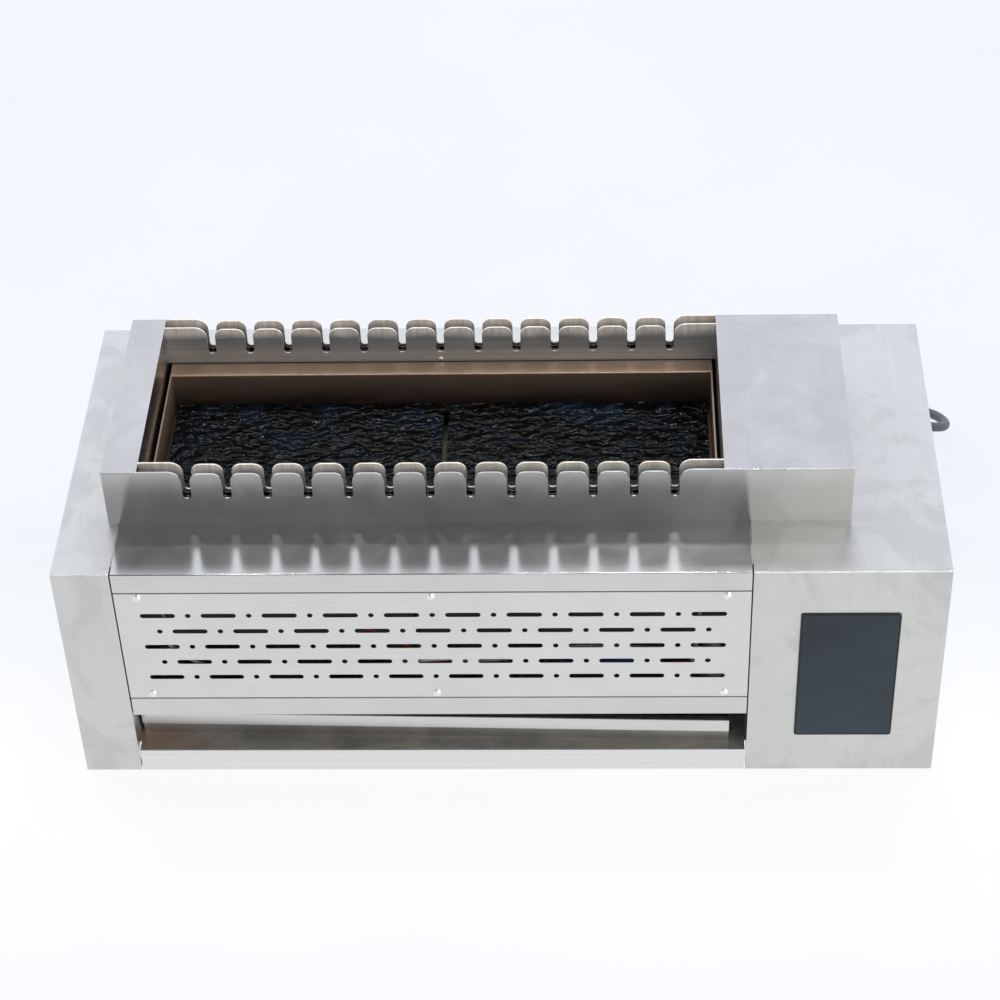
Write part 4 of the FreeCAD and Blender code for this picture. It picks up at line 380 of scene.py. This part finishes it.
def touch_panel_glass(name):
    """Dark glass with a painted slate-blue reflection over its middle, darker along its edges."""
    shader = Shader(name)
    low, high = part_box("touch_glass")
    inside = None
    for letter, start, end in (("X", low.x, high.x), ("Z", low.z, high.z)):
        along = shader.axis(letter)
        for edge, inwards in ((start, 1), (end, -1)):
            line = edge + inwards * TOUCH_EDGE
            share = shader.spread(along, line, line + inwards * TOUCH_EDGE_FADE)
            inside = share if inside is None else shader.maths("MULTIPLY", inside, share)
    haze_and_sheen = shader.noise(5.0, (1, 1, 1.6), detail=3, bend=0.4)
    # Painted reflection: the slate-blue middle stands for sky mirrored in the black glass.
    reflected_blue = shader.mix(shader.spread(haze_and_sheen, *MIDDLE), srgb(24, 37, 46), srgb(36, 51, 61))
    shader.colour(shader.mix(inside, srgb(12, 15, 19), reflected_blue))
    shader.roughness(shader.spread(haze_and_sheen, *MOST, 0.10, 0.2))
    shader.set(IOR=1.5, Specular_IOR_Level=0.35)
    return shader.material


def moulded(name, light, dark, rough, scale=160.0):
    """Plastic, rubber, ceramic or board with a fine even grain."""
    shader = Shader(name)
    grains = shader.noise(scale, detail=3)
    shader.colour(shader.mix(shader.spread(grains, *MIDDLE), srgb(*dark), srgb(*light)))
    shader.roughness(shader.spread(grains, *MOST, rough - 0.07, rough + 0.07))
    shader.bump(grains, strength=0.2, distance=0.0002)
    return shader.material


# A finish's material, its grain and tone, and what differs from the usual sheet.
BRUSHED = {
    "sideways": ("steel_brushed_sideways", "x", (213, 213, 211), {}),
    "shelf": ("steel_shelf", "x", (206, 206, 204), {"rough": 0.18, "drawn": 0.6}),
    "lengthways": ("steel_brushed_lengthways", "y", (206, 206, 204),
                   {"rough": 0.33, "smudge": 0.13}),
    "raised_top": ("steel_raised_top", "y", (196, 195, 196), {"rough": 0.28, "cloud": 0.09}),
    "raised_front": ("steel_raised_front", "x", (205, 205, 203), {"rough": 0.22}),
}

# A finish's material, its light and dark tone, roughness and scale of grain.
DULL = {
    "inner": ("steel_inner_walls", (186, 186, 182), (160, 160, 158), 0.42, 60.0),
    "hidden": ("steel_bulkheads", (92, 91, 90), (72, 71, 70), 0.5, 60.0),
    "zinc": ("zinc_screws", (240, 240, 238), (222, 222, 220), 0.34, 400.0),
    "chain": ("chain_steel", (104, 101, 97), (40, 38, 36), 0.28, 300.0),
    "gear": ("gear_steel", (160, 160, 162), (120, 120, 124), 0.35, 200.0),
    "bronze": ("bronze_bushes", (190, 150, 96), (150, 112, 66), 0.4, 260.0),
    "brass": ("brass_pins", (214, 190, 130), (190, 164, 104), 0.28, 300.0),
    "oxide": ("element_oxide", (84, 80, 78), (48, 45, 44), 0.55, 220.0),
}

# The same for what isn't metal, all with one scale of grain.
MOULDED = {
    "fibre": ("insulation_fibre", (150, 140, 126), (118, 108, 96), 0.85),
    "ceramic": ("ceramic_bushes", (226, 220, 206), (206, 200, 186), 0.5),
    "paint": ("motor_paint", (46, 46, 50), (34, 34, 38), 0.4),
    "board": ("board_lacquer", (26, 96, 52), (16, 74, 40), 0.35),
    "spacer": ("spacer_nylon", (220, 218, 212), (200, 198, 192), 0.5),
    "pad": ("pad_rubber", (48, 48, 50), (34, 34, 36), 0.75),
    "plug": ("plug_plastic", (44, 45, 48), (32, 33, 36), 0.5),
    "red": ("lead_red", (196, 40, 34), (164, 26, 24), 0.5),
    "blue": ("lead_blue", (42, 84, 176), (28, 60, 140), 0.5),
    "white": ("lead_white", (232, 232, 228), (212, 212, 208), 0.5),
}

# Which nodes have which finish. All others are gear steel.
WORN_BY = {
    "sideways": ("perforated_front_panel", "rear_cover", "drip_tray"),
    "shelf": ("front_shelf", "lower_front_rail"),
    "lengthways": ("left_end_cover", "right_end_cover"),
    "raised_top": ("left_raised_cap", "drive_housing_cover"),
    "raised_front": ("front_outer_plate",),
    "tinted": ("well_liner",),
    "base": ("base_pan",),
    "notched": ("rear_outer_plate", "front_inner_plate", "rear_inner_plate"),
    "inner": ("left_partition", "right_partition", "bearing_stands", "motor_bracket"),
    "hidden": ("front_bulkhead", "rear_bulkhead"),
    "zinc": ("front_panel_screws", "rear_cover_screws", "rivet_nuts", "inner_plate_screws",
             "element_terminals"),
    "chain": ("front_chain", "rear_chain"),
    "bronze": ("bearing_bushes",),
    "brass": ("plug_pins",),
    "oxide": ("heater_pan", "left_heating_element", "right_heating_element"),
    "glass": GLASS_PANELS,
    "touch": ("touch_glass",),
    "fibre": ("insulation_board",),
    "ceramic": ("ceramic_bushes",),
    "paint": ("gear_motor",),
    "board": ("touch_board", "control_board"),
    "spacer": ("board_standoffs",),
    "pad": ("foot_pads",),
    "plug": ("mains_plug", "cable_gland"),
    "red": ("red_lead",),
    "blue": ("blue_lead",),
    "white": ("white_leads",),
}


def dress():
    """Gives every part of the model its finish."""
    finishes = {key: brushed_steel(name, grain, tone, **more)
                for key, (name, grain, tone, more) in BRUSHED.items()}
    finishes["tinted"] = heat_tinted_steel("steel_heat_tinted")
    finishes["base"] = base_steel("steel_base")
    finishes["notched"] = notched_steel("steel_notched_inner")
    finishes.update({key: dull_metal(*row) for key, row in DULL.items()})
    finishes["glass"] = rippled_glass("glass_rippled_black")
    finishes["touch"] = touch_panel_glass("glass_touch_panel")
    finishes.update({key: moulded(*row) for key, row in MOULDED.items()})
    worn = {name: finishes[key] for key, names in WORN_BY.items() for name in names}
    for name, thing in NODES.items():
        thing.data.materials.clear()
        thing.data.materials.append(worn.get(name, finishes["gear"]))


# Mains cord

CORD_RADIUS = 4.75
CORD_ROUTE = [
    (630, 377, 118), (630, 404, 118), (641, 444, 110), (680, 464, 102), (722, 446, 92),
    (754, 408, 78), (800, 402, 66), (826, 435, 40), (817, 480, 20), (782, 508, 6.5),
    (736, 516, 4.75), (690, 506, 4.75), (642, 506, 4.75),
]
CORD_RUBBER = ("cord_rubber", (66, 69, 76), (50, 53, 60), 0.45, 220.0)
CORD_STEPS = 12
CORD_SIDES = 6
COIL_INNER = 45.0
COIL_PITCH = 10.0
COIL_TURNS_EACH_WAY = 1.5
COIL_CLIMB = 0.5
COIL_TAIL = 38.0
COIL_STEPS = 16


def coil_points():
    """The spline's points round the coil: inwards on the ground, up a layer in half a turn, and
    out again."""
    inwards = COIL_TURNS_EACH_WAY
    start_x, start_y, start_z = CORD_ROUTE[-1]
    middle_x = start_x - 2 * CORD_RADIUS
    middle_y = start_y - (COIL_INNER + COIL_PITCH * inwards)
    widen = 1 / math.cos(math.pi / COIL_STEPS)
    count = int(round((2 * inwards + COIL_CLIMB) * COIL_STEPS))
    points = []
    for step in range(count + 1):
        turn = step / COIL_STEPS
        if turn < inwards + COIL_CLIMB / 2:
            radius = COIL_INNER + COIL_PITCH * (inwards - turn)
        else:
            radius = COIL_INNER + COIL_PITCH * (turn - inwards - COIL_CLIMB)
        climb = min(1.0, max(0.0, (turn - inwards) / COIL_CLIMB))
        height = COIL_PITCH * climb * climb * (3 - 2 * climb)
        angle = math.pi / 2 + turn * 2 * math.pi
        reach = radius * (widen if 0 < step < count else 1.0)
        points.append((middle_x + reach * math.cos(angle), middle_y + reach * math.sin(angle),
                       start_z + height))
    last_x, last_y, last_z = points[-1]
    points += [(last_x + COIL_TAIL * share, last_y, last_z) for share in (0.5, 1.0)]
    return points


def spline_length(obj):
    mesh = bpy.data.meshes.new_from_object(obj)
    points = [vertex.co for vertex in mesh.vertices]
    return sum((b - a).length for a, b in zip(points, points[1:]))


def mains_cord():
    points = CORD_ROUTE + coil_points()
    data = bpy.data.curves.new("mains_cord", "CURVE")
    data.dimensions = "3D"
    data.resolution_u = CORD_STEPS
    data.use_fill_caps = True
    line = data.splines.new("NURBS")
    line.points.add(len(points) - 1)
    for point, (x, y, z) in zip(line.points, points):
        point.co = (*place(x, y, z), 1.0)
    line.order_u = 3
    line.use_endpoint_u = True
    cord = bpy.data.objects.new("mains_cord", data)
    bpy.context.scene.collection.objects.link(cord)
    length = spline_length(cord)
    data.bevel_depth = CORD_RADIUS * MM
    data.bevel_resolution = CORD_SIDES
    data.materials.append(moulded(*CORD_RUBBER))
    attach(cord, "grill")
    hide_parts("power_cord", "cord_coil")
    print("mains cord: %.3f m" % length)


# Studio

# Light levels of what metal and glass mirror, where 1 is white.
SURROUND = (1.15, 1.185, 1.29, 1)
CEILING = (0.14, 0.15, 0.17, 1)
PANEL = (2.9, 2.88, 2.8, 1)
GAP = (0.145, 0.145, 0.15, 1)
PLAIN_LIGHT = (1.0, 1.01, 1.04, 1)
BACKGROUND = (0.90, 0.925, 0.96, 1)

# Where each begins and ends: rises as a share of straight up, and angles in radians to the right
# of straight in front.
CEILING_RISE = (0.68, 0.79)
GAP_RISE = (0.02, 0.16)
GAP_MIDDLE = -0.10
GAP_SIDE = (0.20, 0.34)
PANEL_LEFT = (0.15, 0.35)
PANEL_RIGHT = (1.2, 1.5)

# The paper's two tones, and the light that it gives of its own by its place.
PAPER_HALF = 6.0
PAPER_TONES = ((0.11, 0.115, 0.125, 1), (0.13, 0.135, 0.14, 1))
GLOW_FAR_FRONT = (0.755, 0.765, 0.785, 1)
GLOW_FRONT = (0.85, 0.855, 0.862, 1)
GLOW_BEHIND = (0.725, 0.748, 0.785, 1)
FRONT_FADE = (-0.50, -0.22)
BEHIND_FADE = (-0.15, 0.15)

# Name, place, size and watts. Each lamp points at the origin.
LAMPS = (
    ("lamp_over", (0.2, 1.0, 2.5), (0.18, 0.18), 8),
    ("lamp_small_0", (-0.55, 1.0, 2.6), (0.12, 0.12), 5),
    ("lamp_small_1", (0.85, 0.9, 2.5), (0.12, 0.12), 5),
    ("lamp_small_2", (0.0, 0.55, 2.9), (0.12, 0.12), 5),
    ("lamp_left", (-1.3, 0.9, 2.2), (0.3, 0.3), 11),
    ("lamp_right", (1.6, 0.3, 2.0), (0.25, 0.35), 9),
)


def world():
    """What metal and glass mirror: a bright surround, brighter still at the front right, with a
    dark gap in front, a little to the left, and a dim ceiling. All that is dull gets even white
    light, and the camera sees a pale background."""
    made = bpy.data.worlds.new("studio")
    bpy.context.scene.world = made
    made.use_nodes = True
    sky = Nodes(made.node_tree)

    def starts(source, span):
        return sky.spread(source, *span, 0.0, 1.0, way="SMOOTHSTEP")

    def ends(source, span):
        return sky.spread(source, *span, 1.0, 0.0, way="SMOOTHSTEP")

    toward = sky.split(sky.node("ShaderNodeTexCoord").outputs["Generated"])
    aside = sky.maths("ARCTAN2", toward["X"], sky.maths("MULTIPLY", toward["Y"], -1.0))
    off_gap = sky.maths("ABSOLUTE", sky.maths("ADD", aside, -GAP_MIDDLE))
    gap = sky.maths("MULTIPLY", ends(off_gap, GAP_SIDE), starts(toward["Z"], GAP_RISE))
    panel = sky.maths("MULTIPLY", starts(aside, PANEL_LEFT), ends(aside, PANEL_RIGHT))
    mirrored = sky.mix(starts(toward["Z"], CEILING_RISE), SURROUND, CEILING)
    mirrored = sky.mix(panel, mirrored, PANEL)
    mirrored = sky.mix(gap, mirrored, GAP)
    rays = sky.node("ShaderNodeLightPath").outputs
    light = sky.mix(rays["Is Glossy Ray"], PLAIN_LIGHT, mirrored)
    shown = sky.mix(rays["Is Camera Ray"], light, BACKGROUND)
    sky.link(shown, sky.tree.nodes["Background"].inputs["Color"])


def floor():
    """White paper, lit from below as well, so that it stays pale up to the object."""
    half = PAPER_HALF
    data = bpy.data.meshes.new("floor")
    data.from_pydata([(-half, -half, 0), (half, -half, 0), (half, half, 0), (-half, half, 0)],
                     [], [(0, 1, 2, 3)])
    thing = bpy.data.objects.new("floor", data)
    bpy.context.scene.collection.objects.link(thing)
    shader = Shader("floor_paper")
    tone = shader.noise(1.6, detail=3)
    shader.colour(shader.mix(shader.spread(tone, *MOST), *PAPER_TONES))
    glow = shader.mix(shader.spread(shader.axis("Y"), *FRONT_FADE), GLOW_FAR_FRONT, GLOW_FRONT)
    glow = shader.mix(shader.spread(shader.axis("Y"), *BEHIND_FADE), glow, GLOW_BEHIND)
    shader.link(glow, shader.surface.inputs["Emission Color"])
    shader.set(Roughness=1.0, Specular_IOR_Level=0.0, Emission_Strength=1.0)
    data.materials.append(shader.material)


def lamps():
    for name, spot, size, power in LAMPS:
        data = bpy.data.lights.new(name, "AREA")
        data.shape = "RECTANGLE"
        data.size, data.size_y = size
        data.energy = power
        made = bpy.data.objects.new(name, data)
        made.location = spot
        made.rotation_euler = (-Vector(spot)).to_track_quat("-Z", "Y").to_euler()
        bpy.context.scene.collection.objects.link(made)


add_camera()
mains_cord()
dress()
bpy.context.scene.view_settings.view_transform = "Standard"
world()
floor()
lamps()
